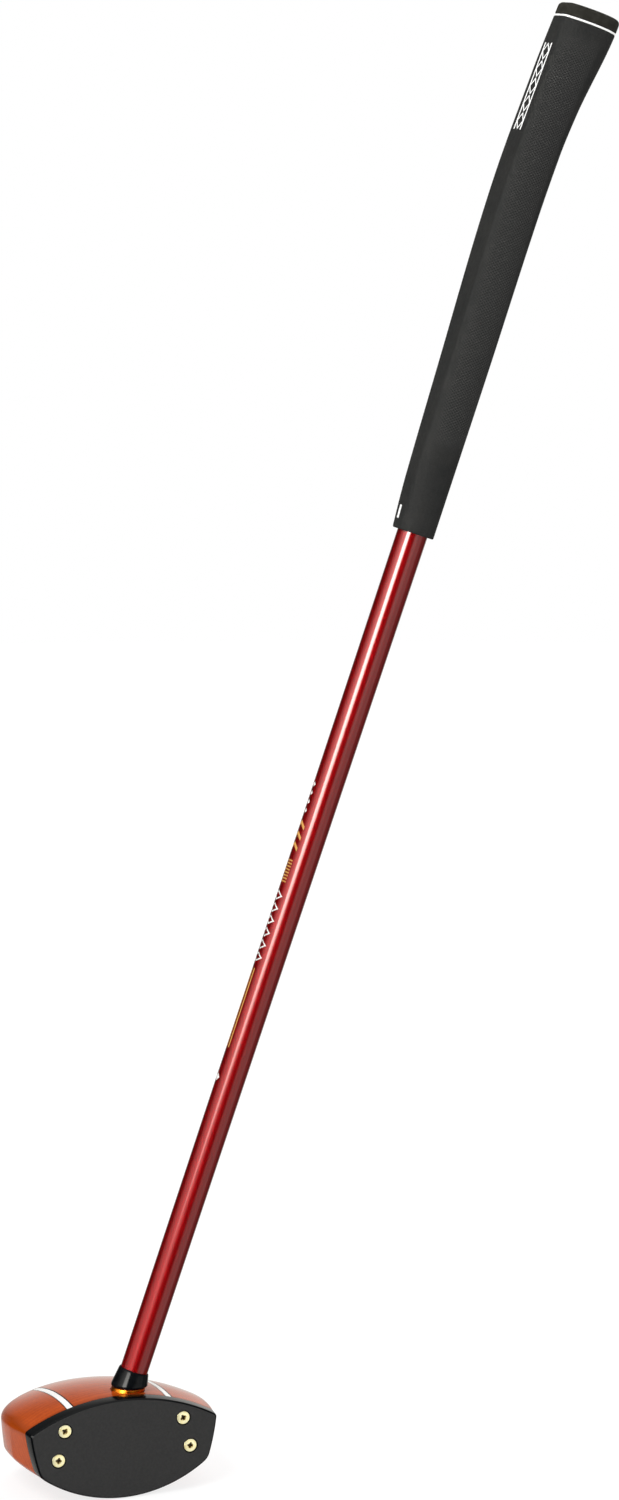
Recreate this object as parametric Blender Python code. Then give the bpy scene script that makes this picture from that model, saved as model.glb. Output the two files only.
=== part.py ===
# Park golf club: a lacquered hardwood mallet head with a black striking plate, a red tube shaft
# and a rubber grip, standing at address. +X points to the heel, +Y from the striking face to the
# back and +Z up. The origin is the centre of the sole plate's flat underside.
import math

import bpy
import bmesh
from mathutils import Matrix, Vector

MM = 0.001

# Whole club
FIT_GAP = 0.3 * MM  # between pieces that touch
LIE_ANGLE = math.radians(70.0)  # shaft axis above the ground
CLUB_LENGTH = 841.5 * MM  # along the shaft axis, from the ground to the butt

# Striking plate, as seen from the front
FACE_HALF_WIDTH = 53.6 * MM  # at the top corners, where it meets the wood
FACE_END_DRAFT = 0.9 * MM  # how much narrower each end is at the front
FACE_END_LEAN = 5.4 * MM  # how much narrower it is at the sole corners
FACE_HEIGHT = 55.4 * MM  # ground to the middle of the top edge
CROWN_RISE = 14.4 * MM  # top corners to the middle of the top edge
SOLE_RISE = 16.4 * MM  # lowest line to the sole corners
GROUND_CLEARANCE = 0.4 * MM  # under the lowest line of the plate and the wood
PLATE_THICKNESS = 8.4 * MM
PLATE_CHAMFER = 1.0 * MM

# Wooden head behind the plate. Depths are counted back from the striking face.
HEAD_DEPTH = 80.0 * MM
FLANK_BULGE = 2.4 * MM  # how far the widest place stands out past the plate
WIDEST_DEPTH = 33.0 * MM
BACK_SQUARENESS = 2.7  # power of the superellipse that rounds the back
SIDE_LEAN = 1.8 * MM  # how much narrower it is at the sole, where the sides stand steepest
SIDE_LEAN_REACH = 20.0 * MM  # depth over which the plate's lean turns into the sides'
SIDE_BARREL = 0.5  # share of the lean that comes late, which rounds the sides
CROWN_PEAK_DEPTH = 15.0 * MM
CROWN_RADIUS_ALONG = 195.0 * MM
TRAILING_LENGTH = 30.0 * MM  # stretch before the back end over which the sole rises
TRAILING_RADIUS = 90.0 * MM
RIM_SETBACK = 3.0 * MM  # rounding between crown and side
RIM_SETBACK_AT_FACE = 1.5 * MM
RIM_GROWTH = 15.0 * MM  # depth over which the rim's rounding grows
SOLE_SETBACK = 2.5 * MM  # rounding between side and sole

# Alignment lines, inlaid in the crown
LINE_OFFSET = 28.0 * MM
LINE_WIDTH = 3.0 * MM
LINE_THICKNESS = 1.2 * MM
LINE_END_MARGIN = 2.0 * MM

# Sole plate and balance weight, under the middle of the wood
SOLE_PLATE_WIDTH = 26.0 * MM
SOLE_PLATE_LENGTH = 46.0 * MM
SOLE_PLATE_THICKNESS = 3.0 * MM
SOLE_PLATE_CORNER = 6.0 * MM
SOLE_PLATE_CHAMFER = 0.5 * MM
WEIGHT_DIAMETER = 20.0 * MM
WEIGHT_HEIGHT = 16.0 * MM
WEIGHT_CHAMFER = 0.8 * MM

# Countersunk brass wood screws
SCREW_HEAD_DIAMETER = 7.2 * MM
SCREW_HEAD_HEIGHT = 2.3 * MM
SCREW_DOME = 0.35 * MM
SCREW_SINK = 0.5 * MM  # rim of the head below the plate's surface
SCREW_SHANK_DIAMETER = 3.6 * MM
SCREW_TIP_LENGTH = 2.5 * MM
THREAD_DEPTH = 0.45 * MM
THREAD_TURNS = 3
COUNTERSINK_MARGIN = 0.55 * MM  # ring of countersink that shows round each head
RECESS_WIDTH = 1.0 * MM  # cross recess for the screwdriver
RECESS_SPAN = 3.6 * MM
RECESS_DEPTH = 1.3 * MM
FACE_SCREW_LENGTH = 22.0 * MM
FACE_SCREW_UPPER_INSET = 20.1 * MM  # in from the plate's top corner
FACE_SCREW_LOWER_INSET = 16.3 * MM
FACE_SCREW_UPPER_LIFT = 0.4 * MM  # above the plate's top corner
FACE_SCREW_LOWER_LIFT = 8.6 * MM  # above the plate's sole corner
SOLE_SCREW_LENGTH = 12.0 * MM
SOLE_SCREW_INSET = 5.2 * MM  # in from both edges of the sole plate

# Shaft. Places along its axis are counted from where the axis meets the ground.
SHAFT_CROWN_X = 7.9 * MM  # where the axis comes out of the crown
SHAFT_TIP_DIAMETER = 15.0 * MM
SHAFT_BUTT_DIAMETER = 16.8 * MM
SHAFT_WALL = 1.2 * MM
BORE_BOTTOM = 22.0 * MM
TIP_PLUG_LENGTH = 14.0 * MM
TIP_PLUG_INSET = 2.0 * MM

# Neck: an amber ring on a spot face in the crown, and a tall black ferrule. Walls are counted
# from the radius of the shaft's tip.
NECK_TO_PLATE = 1.2 * MM  # wood between the amber ring and the striking plate
SEAT_SINK = 0.9 * MM
AMBER_RING_HEIGHT = 2.2 * MM
AMBER_RING_WALL = 1.4 * MM
FERRULE_HEIGHT = 9.2 * MM
FERRULE_FOOT_WALL = 1.7 * MM
FERRULE_BELLY_WALL = 2.2 * MM  # at its widest
FERRULE_BELLY_HEIGHT = 1.0 * MM  # of the widest place above its foot
FERRULE_TOP_WALL = 0.85 * MM
FERRULE_LIP = 0.5 * MM

# Grip: a pistol shape with a flat for the thumbs. Each pair is a share of the grip's length from
# its mouth, then the rubber's thickness past the shaft, or the flat's share of the grip's width.
GRIP_LENGTH = 294.5 * MM
THUMB_WALL = ((0.0, 2.6 * MM), (0.05, 3.4 * MM), (0.3, 5.8 * MM), (0.66, 8.7 * MM),
              (0.87, 7.0 * MM), (1.0, 5.7 * MM))
PALM_WALL = ((0.0, 3.3 * MM), (0.3, 3.0 * MM), (0.62, 2.2 * MM), (0.73, 2.7 * MM),
             (0.81, 4.4 * MM), (0.97, 11.0 * MM), (1.0, 11.5 * MM))
SIDE_WALL = ((0.0, 2.9 * MM), (0.5, 4.2 * MM), (1.0, 5.2 * MM))
THUMB_FLAT = ((0.0, 0.35), (0.1, 0.55), (0.66, 0.72), (0.87, 0.68), (1.0, 0.5))
RIDGE_SOFTNESS = 1.0 * MM  # rounding where the thumb flat meets the sides
GRIP_LIP_LENGTH = 6.0 * MM  # close fit on the bare shaft at the mouth
GRIP_LIP_ROUND = 0.8 * MM
TAPE_THICKNESS = 0.3 * MM
TAPE_END_MARGIN = 4.0 * MM
WHITE_RING_HEIGHT = 1.1 * MM
CAP_HEIGHT = 6.8 * MM
CAP_ROUND = 2.6 * MM
CAP_SPIGOT_LENGTH = 12.0 * MM
VENT_DIAMETER = 3.0 * MM

# How finely curves are divided
ROUND_STEPS = 28
SCREW_STEPS = 14
HOLE_STEPS = 20
GRIP_STEPS = 32
GRIP_STATIONS = 22
CORNER_STEPS = 3
FLANK_STEPS = 5
BACK_STEPS = 32
FACE_STEPS = 16
LINE_STEPS = 12
WELD = 0.001 * MM

# Worked out from the sizes above
WOOD_FRONT = PLATE_THICKNESS + FIT_GAP
WOOD_MIDDLE = (WOOD_FRONT + HEAD_DEPTH) / 2.0
FACE_Y = -WOOD_MIDDLE
HEAD_HALF_WIDTH = FACE_HALF_WIDTH + FLANK_BULGE
AMBER_RING_RADIUS = SHAFT_TIP_DIAMETER / 2.0 + AMBER_RING_WALL
SHAFT_DEPTH = PLATE_THICKNESS + NECK_TO_PLATE + AMBER_RING_RADIUS
SHAFT_TIP = BORE_BOTTOM + FIT_GAP
CAP_BOTTOM = CLUB_LENGTH - CAP_HEIGHT
SHAFT_TOP = CAP_BOTTOM - FIT_GAP
RING_BOTTOM = CAP_BOTTOM - FIT_GAP - WHITE_RING_HEIGHT
GRIP_TOP = RING_BOTTOM - FIT_GAP
GRIP_MOUTH = CLUB_LENGTH - GRIP_LENGTH
BUTT_RADIUS = SHAFT_BUTT_DIAMETER / 2.0
GRIP_BORE = BUTT_RADIUS + FIT_GAP + TAPE_THICKNESS + FIT_GAP


def clear_scene():
    """Remove what the file opens with."""
    for thing in list(bpy.data.objects):
        bpy.data.objects.remove(thing, do_unlink=True)


def finish(name, colour, roughness, metallic=0.0):
    """A Principled material with one plain colour."""
    material = bpy.data.materials.new(name)
    material.use_nodes = True
    shader = material.node_tree.nodes["Principled BSDF"]
    shader.inputs["Base Color"].default_value = (*colour, 1.0)
    shader.inputs["Roughness"].default_value = roughness
    shader.inputs["Metallic"].default_value = metallic
    return material


def add_object(name, bm, material=None, parent=None):
    """Turn a bmesh into a smooth-shaded object."""
    mesh = bpy.data.meshes.new(name)
    bm.to_mesh(mesh)
    bm.free()
    mesh.shade_smooth()
    mesh.set_sharp_from_angle(angle=math.radians(35.0))
    if material:
        mesh.materials.append(material)
    thing = bpy.data.objects.new(name, mesh)
    thing.parent = parent
    bpy.context.scene.collection.objects.link(thing)
    return thing


def cut(target, cutter):
    """Take the cutter's shape out of the target. The cutter stays as a wire guide."""
    cutter.hide_render = True
    cutter.display_type = "WIRE"
    modifier = target.modifiers.new("cut " + cutter.name, "BOOLEAN")
    modifier.operation = "DIFFERENCE"
    modifier.solver = "EXACT"
    modifier.object = cutter


def loft(rings, closed=False):
    """Bands of faces between rings of points, each ring as long as the next. A closed loft runs
    from the last ring back to the first; an open one ends in two fans."""
    bm = bmesh.new()
    loops = [[bm.verts.new(point) for point in ring] for ring in rings]
    bands = list(zip(loops, loops[1:]))
    if closed:
        bands.append((loops[-1], loops[0]))
    for lower, upper in bands:
        for i in range(len(lower)):
            bm.faces.new((lower[i - 1], lower[i], upper[i], upper[i - 1]))
    if not closed:
        ends = [bm.faces.new(loops[0]), bm.faces.new(loops[-1])]
        bmesh.ops.poke(bm, faces=ends)
    bmesh.ops.remove_doubles(bm, verts=bm.verts, dist=WELD)
    bmesh.ops.recalc_face_normals(bm, faces=bm.faces)
    return bm


def spun(profile, steps=ROUND_STEPS, closed=False):
    """Spin (radius, height) points about Z. A closed profile makes a ring or a tube."""
    bm = bmesh.new()
    verts = [bm.verts.new((radius, 0.0, height)) for radius, height in profile]
    followers = verts[1:] + verts[:1] if closed else verts[1:]
    edges = [bm.edges.new(pair) for pair in zip(verts, followers)]
    bmesh.ops.spin(bm, geom=verts + edges, axis=(0.0, 0.0, 1.0), cent=(0.0, 0.0, 0.0),
                   angle=math.tau, steps=steps, use_merge=True)
    bmesh.ops.remove_doubles(bm, verts=bm.verts, dist=WELD)
    bmesh.ops.recalc_face_normals(bm, faces=bm.faces)
    return bm


def prism(outline, along, chamfer=0.0):
    """Extrude a flat outline. A chamfer narrows and sinks the edge of the starting face."""
    bm = bmesh.new()
    base = bm.faces.new([bm.verts.new(point) for point in outline])
    raised = bmesh.ops.extrude_face_region(bm, geom=[base], use_keep_orig=True)
    far_verts = [item for item in raised["geom"] if isinstance(item, bmesh.types.BMVert)]
    bmesh.ops.translate(bm, verts=far_verts, vec=along)
    bmesh.ops.recalc_face_normals(bm, faces=bm.faces)
    if chamfer:
        bmesh.ops.translate(bm, verts=base.verts, vec=Vector(along).normalized() * chamfer)
        bmesh.ops.inset_region(bm, faces=[base], thickness=chamfer, depth=chamfer)
    return bm


def smooth_value(stations, share):
    """Value at a share of the length, on a smooth curve through the stations."""
    places = [place for place, value in stations]
    values = [value for place, value in stations]
    slopes = [(values[i + 1] - values[i]) / (places[i + 1] - places[i])
              for i in range(len(places) - 1)]
    tangents = [slopes[0]]
    for before, after in zip(slopes, slopes[1:]):
        tangents.append(0.0 if before * after <= 0.0 else 2.0 * before * after / (before + after))
    tangents.append(slopes[-1])
    i = max(k for k in range(len(slopes)) if k == 0 or places[k] <= share)
    span = places[i + 1] - places[i]
    t = (share - places[i]) / span
    return (values[i] * (1.0 + 2.0 * t) * (1.0 - t) ** 2 + values[i + 1] * (3.0 - 2.0 * t) * t ** 2
            + span * t * (1.0 - t) * (tangents[i] * (1.0 - t) - tangents[i + 1] * t))


def arc_rise(x, half_chord, rise):
    """Height that an arc has gained at x, if it gains the given rise at half_chord."""
    radius = (half_chord ** 2 + rise ** 2) / (2.0 * rise)
    return radius - math.sqrt(radius ** 2 - x ** 2)


def half_width(depth):
    """Half width of the rim, from the plate to the widest place, and the same beyond it."""
    plate_share = FACE_HALF_WIDTH / HEAD_HALF_WIDTH
    flank_length = (WIDEST_DEPTH - WOOD_FRONT) / math.sqrt(1.0 - plate_share ** 2)
    ahead = max(0.0, WIDEST_DEPTH - depth) / flank_length
    return HEAD_HALF_WIDTH * math.sqrt(1.0 - ahead ** 2)


def crown_height(x, depth):
    """Top of the head: an arc across, as wide as the head is there, and a shallow arc along."""
    across = arc_rise(x * FACE_HALF_WIDTH / half_width(depth), FACE_HALF_WIDTH, CROWN_RISE)
    along = (depth - CROWN_PEAK_DEPTH) ** 2 - (WOOD_FRONT - CROWN_PEAK_DEPTH) ** 2
    return FACE_HEIGHT - across - along / (2.0 * CROWN_RADIUS_ALONG)


def sole_height(x, depth):
    """Underside of the head: a rocker across, lifted towards the back."""
    corner = FACE_HALF_WIDTH - FACE_END_LEAN
    rocker = arc_rise(x * corner / (half_width(depth) - FACE_END_LEAN), corner, SOLE_RISE)
    trailing = max(0.0, depth - HEAD_DEPTH + TRAILING_LENGTH) ** 2 / (2.0 * TRAILING_RADIUS)
    return GROUND_CLEARANCE + rocker + trailing


def corner_curve(start, corner, end):
    """Points of a quadratic curve that rounds a corner."""
    shares = [i / CORNER_STEPS for i in range(CORNER_STEPS + 1)]
    return [start * (1.0 - t) ** 2 + corner * 2.0 * t * (1.0 - t) + end * t ** 2 for t in shares]


def side_column(top, foot, outward, rim_setback, sole_setback):
    """Points down the head's side, from the crown's edge to the sole's. top, foot and outward
    are in plan, in (x, depth). A setback is how far the rounding of a corner reaches."""
    top_corner = Vector((top.x, top.y, crown_height(top.x, top.y)))
    sole_corner = Vector((foot.x, foot.y, sole_height(foot.x, foot.y)))
    drop = top_corner.z - sole_corner.z

    def on_side(share):
        lean = (1.0 - SIDE_BARREL) * share + SIDE_BARREL * share ** 2
        plan = top.lerp(foot, lean)
        return Vector((plan.x, plan.y, top_corner.z - drop * share))

    crown_edge = top - outward * rim_setback
    sole_edge = foot - outward * sole_setback
    crown_start = Vector((*crown_edge, crown_height(*crown_edge)))
    sole_end = Vector((*sole_edge, sole_height(*sole_edge)))
    first = rim_setback / drop
    last = 1.0 - sole_setback / drop
    middle = [on_side(first + (last - first) * i / 4.0) for i in (1, 2, 3)]
    return (corner_curve(crown_start, top_corner, on_side(first)) + middle
            + corner_curve(on_side(last), sole_corner, sole_end))


def side_path():
    """Plan of the head's rim from the heel end of the plate, round the back, to the toe end."""
    flank = []
    for i in range(FLANK_STEPS):
        depth = WOOD_FRONT + (WIDEST_DEPTH - WOOD_FRONT) * i / FLANK_STEPS
        flank.append(Vector((half_width(depth), depth)))
    back = []
    for i in range(BACK_STEPS + 1):
        angle = math.pi * i / BACK_STEPS
        side = math.copysign(abs(math.cos(angle)) ** (2.0 / BACK_SQUARENESS), math.cos(angle))
        rear = abs(math.sin(angle)) ** (2.0 / BACK_SQUARENESS)
        back.append(Vector((HEAD_HALF_WIDTH * side,
                            WIDEST_DEPTH + (HEAD_DEPTH - WIDEST_DEPTH) * rear)))
    toe_flank = [Vector((-point.x, point.y)) for point in reversed(flank)]
    return flank + back + toe_flank


def rim_setback_at(depth):
    """The rim's rounding grows from the plate backwards."""
    share = min(1.0, (depth - WOOD_FRONT) / RIM_GROWTH)
    return RIM_SETBACK_AT_FACE + (RIM_SETBACK - RIM_SETBACK_AT_FACE) * share


def lean_at(depth):
    """The sides lean as the plate's ends do in front, and stand steeper further back."""
    share = min(1.0, (depth - WOOD_FRONT) / SIDE_LEAN_REACH)
    return FACE_END_LEAN + (SIDE_LEAN - FACE_END_LEAN) * share


def heel_end_column():
    """The head's side where it meets the plate's heel end. The plate's own end follows it."""
    outward = Vector((1.0, 0.0))
    top = Vector((FACE_HALF_WIDTH, WOOD_FRONT))
    foot = top - outward * FACE_END_LEAN
    return side_column(top, foot, outward, RIM_SETBACK_AT_FACE, SOLE_SETBACK)


def head_columns():
    """All columns of the wooden head: round its sides, then across its flat front."""
    path = side_path()
    columns = [heel_end_column()]
    for before, point, after in zip(path, path[1:], path[2:]):
        run = (after - before).normalized()
        outward = Vector((run.y, -run.x))
        foot = point - outward * lean_at(point.y)
        columns.append(side_column(point, foot, outward, rim_setback_at(point.y), SOLE_SETBACK))
    columns.append([Vector((-point.x, point.y, point.z)) for point in columns[0]])
    narrowing = 1.0 - FACE_END_LEAN / FACE_HALF_WIDTH
    reach = FACE_HALF_WIDTH - 1.6 * max(RIM_SETBACK_AT_FACE, SOLE_SETBACK)
    for i in range(FACE_STEPS + 1):
        x = reach * (2.0 * i / FACE_STEPS - 1.0)
        columns.append(side_column(Vector((x, WOOD_FRONT)), Vector((x * narrowing, WOOD_FRONT)),
                                   Vector((0.0, 0.0)), 0.0, 0.0))
    return columns


def spread_rings(edge, shares, height):
    """Rings inside an edge, drawn towards the head's middle and laid on a height function."""
    middle = Vector((0.0, WOOD_MIDDLE))
    rings = []
    for share in shares:
        plan = [middle.lerp(point.xy, share) for point in edge]
        rings.append([Vector((point.x, point.y, height(*point))) for point in plan])
    return rings


def wooden_head(material):
    """The hardwood block, before its holes and grooves are cut."""
    levels = [list(ring) for ring in zip(*head_columns())]
    crown = spread_rings(levels[0], (0.08, 0.26, 0.44, 0.62, 0.81), crown_height)
    sole = spread_rings(levels[-1], (0.75, 0.5, 0.25, 0.08), sole_height)
    rings = crown + levels + sole
    for ring in rings:
        for point in ring:
            point.y += FACE_Y
    return add_object("head_body", loft(rings), material)


def line_end():
    """Depth at which an alignment line stops, short of the rounded rim."""
    outer = LINE_OFFSET + LINE_WIDTH / 2.0
    rear = (1.0 - (outer / HEAD_HALF_WIDTH) ** BACK_SQUARENESS) ** (1.0 / BACK_SQUARENESS)
    edge = WIDEST_DEPTH + (HEAD_DEPTH - WIDEST_DEPTH) * rear
    return edge - RIM_SETBACK - LINE_END_MARGIN


def crown_strip(middle_x, half_width, front, back, below, above):
    """A strip that follows the crown from front to back."""
    rings = []
    for i in range(LINE_STEPS + 1):
        depth = front + (back - front) * i / LINE_STEPS
        ring = []
        for side, lift in ((-1, -below), (1, -below), (1, above), (-1, above)):
            x = middle_x + side * half_width
            ring.append((x, FACE_Y + depth, crown_height(x, depth) + lift))
        rings.append(ring)
    return loft(rings)


def alignment_lines(head, material):
    """Two white strips let into grooves in the crown."""
    for name, side in (("alignment_line_toe", -1.0), ("alignment_line_heel", 1.0)):
        x = side * LINE_OFFSET
        strip = crown_strip(x, LINE_WIDTH / 2.0, WOOD_FRONT, line_end(), LINE_THICKNESS, 0.0)
        add_object(name, strip, material)
        groove = crown_strip(x, LINE_WIDTH / 2.0 + FIT_GAP, PLATE_THICKNESS / 2.0,
                             line_end() + FIT_GAP, LINE_THICKNESS + FIT_GAP, LINE_WIDTH)
        cut(head, add_object(name + "_groove", groove))


def plate_outline():
    """Front view of the striking plate, flush with the wood all round."""
    end = heel_end_column()
    shares = [2.0 * i / FACE_STEPS - 1.0 for i in range(1, FACE_STEPS)]
    top = [(end[0].x * share, crown_height(end[0].x * share, WOOD_FRONT)) for share in shares]
    low = [(-end[-1].x * share, sole_height(end[-1].x * share, WOOD_FRONT)) for share in shares]
    heel = [(point.x, point.z) for point in end]
    toe = [(-point.x, point.z) for point in reversed(end)]
    return [Vector((x, FACE_Y, z)) for x, z in top + heel + low + toe]


def striking_plate(material):
    """The black plate that meets the ball. Its ends draw in towards the front."""
    body = prism(plate_outline(), (0.0, PLATE_THICKNESS, 0.0), PLATE_CHAMFER)
    for vert in body.verts:
        ahead = 1.0 - (vert.co.y - FACE_Y) / PLATE_THICKNESS
        vert.co.x *= 1.0 - ahead * FACE_END_DRAFT / FACE_HALF_WIDTH
    return add_object("face_plate", body, material)


def screw_profile(length):
    """Half section of a raised countersunk wood screw with its rim at -SCREW_SINK."""
    head, shank = SCREW_HEAD_DIAMETER / 2.0, SCREW_SHANK_DIAMETER / 2.0
    neck = -SCREW_SINK - SCREW_HEAD_HEIGHT
    thread_start = neck - (length + neck) * 0.3
    pitch = (thread_start + length - SCREW_TIP_LENGTH) / THREAD_TURNS
    profile = [(0.0, SCREW_DOME - SCREW_SINK), (head * 0.6, SCREW_DOME * 0.64 - SCREW_SINK),
               (head, -SCREW_SINK), (shank, neck), (shank, thread_start)]
    for i in range(THREAD_TURNS):
        profile.append((shank - THREAD_DEPTH, thread_start - pitch * (i + 0.35)))
        profile.append((shank, thread_start - pitch * (i + 1.0)))
    return profile + [(0.0, -length)]


def screw_hole(name, length, place):
    """Cutter for a countersunk clearance hole and the pilot hole behind it."""
    head, shank = SCREW_HEAD_DIAMETER / 2.0, SCREW_SHANK_DIAMETER / 2.0
    mouth = head + COUNTERSINK_MARGIN
    hole = shank + FIT_GAP
    slope = (head - shank) / SCREW_HEAD_HEIGHT
    throat = -SCREW_SINK - (mouth - hole) / slope
    profile = [(0.0, head), (mouth, head), (mouth, -SCREW_SINK), (hole, throat),
               (hole, -length - FIT_GAP), (0.0, -length - FIT_GAP)]
    cutter = add_object(name + "_hole", spun(profile, HOLE_STEPS))
    cutter.location, cutter.rotation_euler = place
    return cutter


def cross_recess(screw):
    """Cutter for the cross in a screw's head."""
    arm, reach, floor = RECESS_WIDTH / 2.0, RECESS_SPAN / 2.0, -SCREW_SINK - RECESS_DEPTH
    outline = []
    for turn in range(4):
        spin = Matrix.Rotation(math.pi / 2.0 * turn, 3, "Z")
        for x, y in ((reach, -arm), (reach, arm), (arm, arm)):
            outline.append(spin @ Vector((x, y, floor)))
    cutter = add_object(screw.name + "_recess", prism(outline, (0.0, 0.0, RECESS_SPAN)))
    cutter.parent = screw
    return cutter


def wood_screw(name, length, place, held_pieces, material):
    """A screw at (location, rotation), with its hole cut through the pieces it holds."""
    screw = add_object(name, spun(screw_profile(length), SCREW_STEPS), material)
    screw.location, screw.rotation_euler = place
    cut(screw, cross_recess(screw))
    hole = screw_hole(name, length, place)
    for piece in held_pieces:
        cut(piece, hole)


def face_screws(plate, head, material):
    """Two screws at each end of the striking plate, driven backwards into the wood."""
    driven_back = (math.pi / 2.0, 0.0, 0.0)
    upper = FACE_HEIGHT - CROWN_RISE + FACE_SCREW_UPPER_LIFT
    lower = GROUND_CLEARANCE + SOLE_RISE + FACE_SCREW_LOWER_LIFT
    for level, inset, height in (("upper", FACE_SCREW_UPPER_INSET, upper),
                                 ("lower", FACE_SCREW_LOWER_INSET, lower)):
        for end, sign in (("toe", -1.0), ("heel", 1.0)):
            place = ((sign * (FACE_HALF_WIDTH - inset), FACE_Y, height), driven_back)
            wood_screw(f"face_screw_{level}_{end}", FACE_SCREW_LENGTH, place, (plate, head),
                       material)


def rounded_rectangle(margin, height):
    """Outline of the sole plate, grown by a margin."""
    corner = SOLE_PLATE_CORNER + margin
    across = SOLE_PLATE_WIDTH / 2.0 + margin - corner
    along = SOLE_PLATE_LENGTH / 2.0 + margin - corner
    points = []
    for turn, (x, y) in enumerate(((across, along), (-across, along), (-across, -along),
                                   (across, -along))):
        for i in range(7):
            angle = math.pi / 2.0 * (turn + i / 6.0)
            points.append(Vector((x + corner * math.cos(angle), y + corner * math.sin(angle),
                                  height)))
    return points


def sole_plate(head, material):
    """A brass plate let into the sole. Its flat underside is what the club stands on."""
    body = prism(rounded_rectangle(0.0, 0.0), (0.0, 0.0, SOLE_PLATE_THICKNESS),
                 SOLE_PLATE_CHAMFER)
    plate = add_object("sole_plate", body, material)
    start = -SOLE_PLATE_THICKNESS
    recess = prism(rounded_rectangle(FIT_GAP, start),
                   (0.0, 0.0, SOLE_PLATE_THICKNESS + FIT_GAP - start))
    cut(head, add_object("sole_plate_recess", recess))
    return plate


def sole_screws(plate, head, material):
    """A screw in each corner of the sole plate, driven up into the wood."""
    driven_up = (math.pi, 0.0, 0.0)
    side = SOLE_PLATE_WIDTH / 2.0 - SOLE_SCREW_INSET
    along = SOLE_PLATE_LENGTH / 2.0 - SOLE_SCREW_INSET
    for row, y in (("front", -along), ("back", along)):
        for end, x in (("toe", -side), ("heel", side)):
            wood_screw(f"sole_screw_{row}_{end}", SOLE_SCREW_LENGTH, ((x, y, 0.0), driven_up),
                       (plate, head), material)


def balance_weight(head, material):
    """A brass slug in a pocket above the sole plate."""
    radius = WEIGHT_DIAMETER / 2.0
    low = SOLE_PLATE_THICKNESS + FIT_GAP
    high = low + WEIGHT_HEIGHT
    slug = [(0.0, low), (radius - WEIGHT_CHAMFER, low), (radius, low + WEIGHT_CHAMFER),
            (radius, high - WEIGHT_CHAMFER), (radius - WEIGHT_CHAMFER, high), (0.0, high)]
    add_object("balance_weight", spun(slug), material)
    pocket = [(0.0, 0.0), (radius + FIT_GAP, 0.0), (radius + FIT_GAP, high + FIT_GAP),
              (0.0, high + FIT_GAP)]
    cut(head, add_object("weight_pocket", spun(pocket)))


def shaft_axis():
    """An empty whose Z runs up the shaft, with X towards the palm side of the grip."""
    axis = bpy.data.objects.new("shaft_axis", None)
    foot_x = SHAFT_CROWN_X - crown_place() * math.cos(LIE_ANGLE)
    axis.location = (foot_x, FACE_Y + SHAFT_DEPTH, 0.0)
    axis.rotation_euler = (0.0, math.pi / 2.0 - LIE_ANGLE, 0.0)
    bpy.context.scene.collection.objects.link(axis)
    return axis


def shaft_radius(place):
    """The shaft tapers from its tip to the grip's mouth and is straight above it."""
    share = min(1.0, (place - SHAFT_TIP) / (GRIP_MOUTH - SHAFT_TIP))
    return (SHAFT_TIP_DIAMETER + (SHAFT_BUTT_DIAMETER - SHAFT_TIP_DIAMETER) * share) / 2.0


def crown_place():
    """Where the shaft's axis comes out of the crown."""
    return crown_height(SHAFT_CROWN_X, SHAFT_DEPTH) / math.sin(LIE_ANGLE)


def crown_slope():
    """Rise of the crown's surface along the shaft's own X and Y, where the shaft comes out."""
    step = 0.5 * MM
    here = crown_height(SHAFT_CROWN_X, SHAFT_DEPTH)
    rise_x = (crown_height(SHAFT_CROWN_X + step, SHAFT_DEPTH) - here) / step
    rise_y = (crown_height(SHAFT_CROWN_X, SHAFT_DEPTH + step) - here) / step
    tilt = math.pi / 2.0 - LIE_ANGLE
    return (math.tan(tilt + math.atan(rise_x)), rise_y / math.cos(tilt))


def neck_piece(name, bm, low, high, top_follows, material, axis):
    """A ring of the neck. Its foot is cut parallel to the crown, and its top too if it follows."""
    slope_x, slope_y = crown_slope()
    for vert in bm.verts:
        share = 1.0 if top_follows else (high - vert.co.z) / (high - low)
        vert.co.z += (slope_x * vert.co.x + slope_y * vert.co.y) * share
    return add_object(name, bm, material, axis)


def neck(head, axis, black, amber):
    """The amber ring and the ferrule, stacked on a spot face in the crown."""
    radius = AMBER_RING_RADIUS
    mouth = radius + FIT_GAP
    seat = crown_place() - SEAT_SINK
    spot_face = spun([(0.0, seat), (mouth, seat), (mouth, seat + mouth), (0.0, seat + mouth)])
    cut(head, neck_piece("neck_seat", spot_face, seat, seat + mouth, True, None, axis))
    low = seat + FIT_GAP
    high = low + AMBER_RING_HEIGHT
    bore = shaft_radius(high) + FIT_GAP
    ring = spun([(bore, low), (radius, low), (radius, high), (bore, high)], closed=True)
    neck_piece("ferrule_ring", ring, low, high, True, amber, axis)

    tip = SHAFT_TIP_DIAMETER / 2.0
    low = high + FIT_GAP
    high = low + FERRULE_HEIGHT
    top = tip + FERRULE_TOP_WALL
    bore = shaft_radius(high) + FIT_GAP
    cone = spun([(bore, low), (tip + FERRULE_FOOT_WALL, low),
                 (tip + FERRULE_BELLY_WALL, low + FERRULE_BELLY_HEIGHT),
                 (top, high - FERRULE_LIP), (top - FERRULE_LIP / 2.0, high), (bore, high)],
                closed=True)
    neck_piece("ferrule", cone, low, high, False, black, axis)


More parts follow.
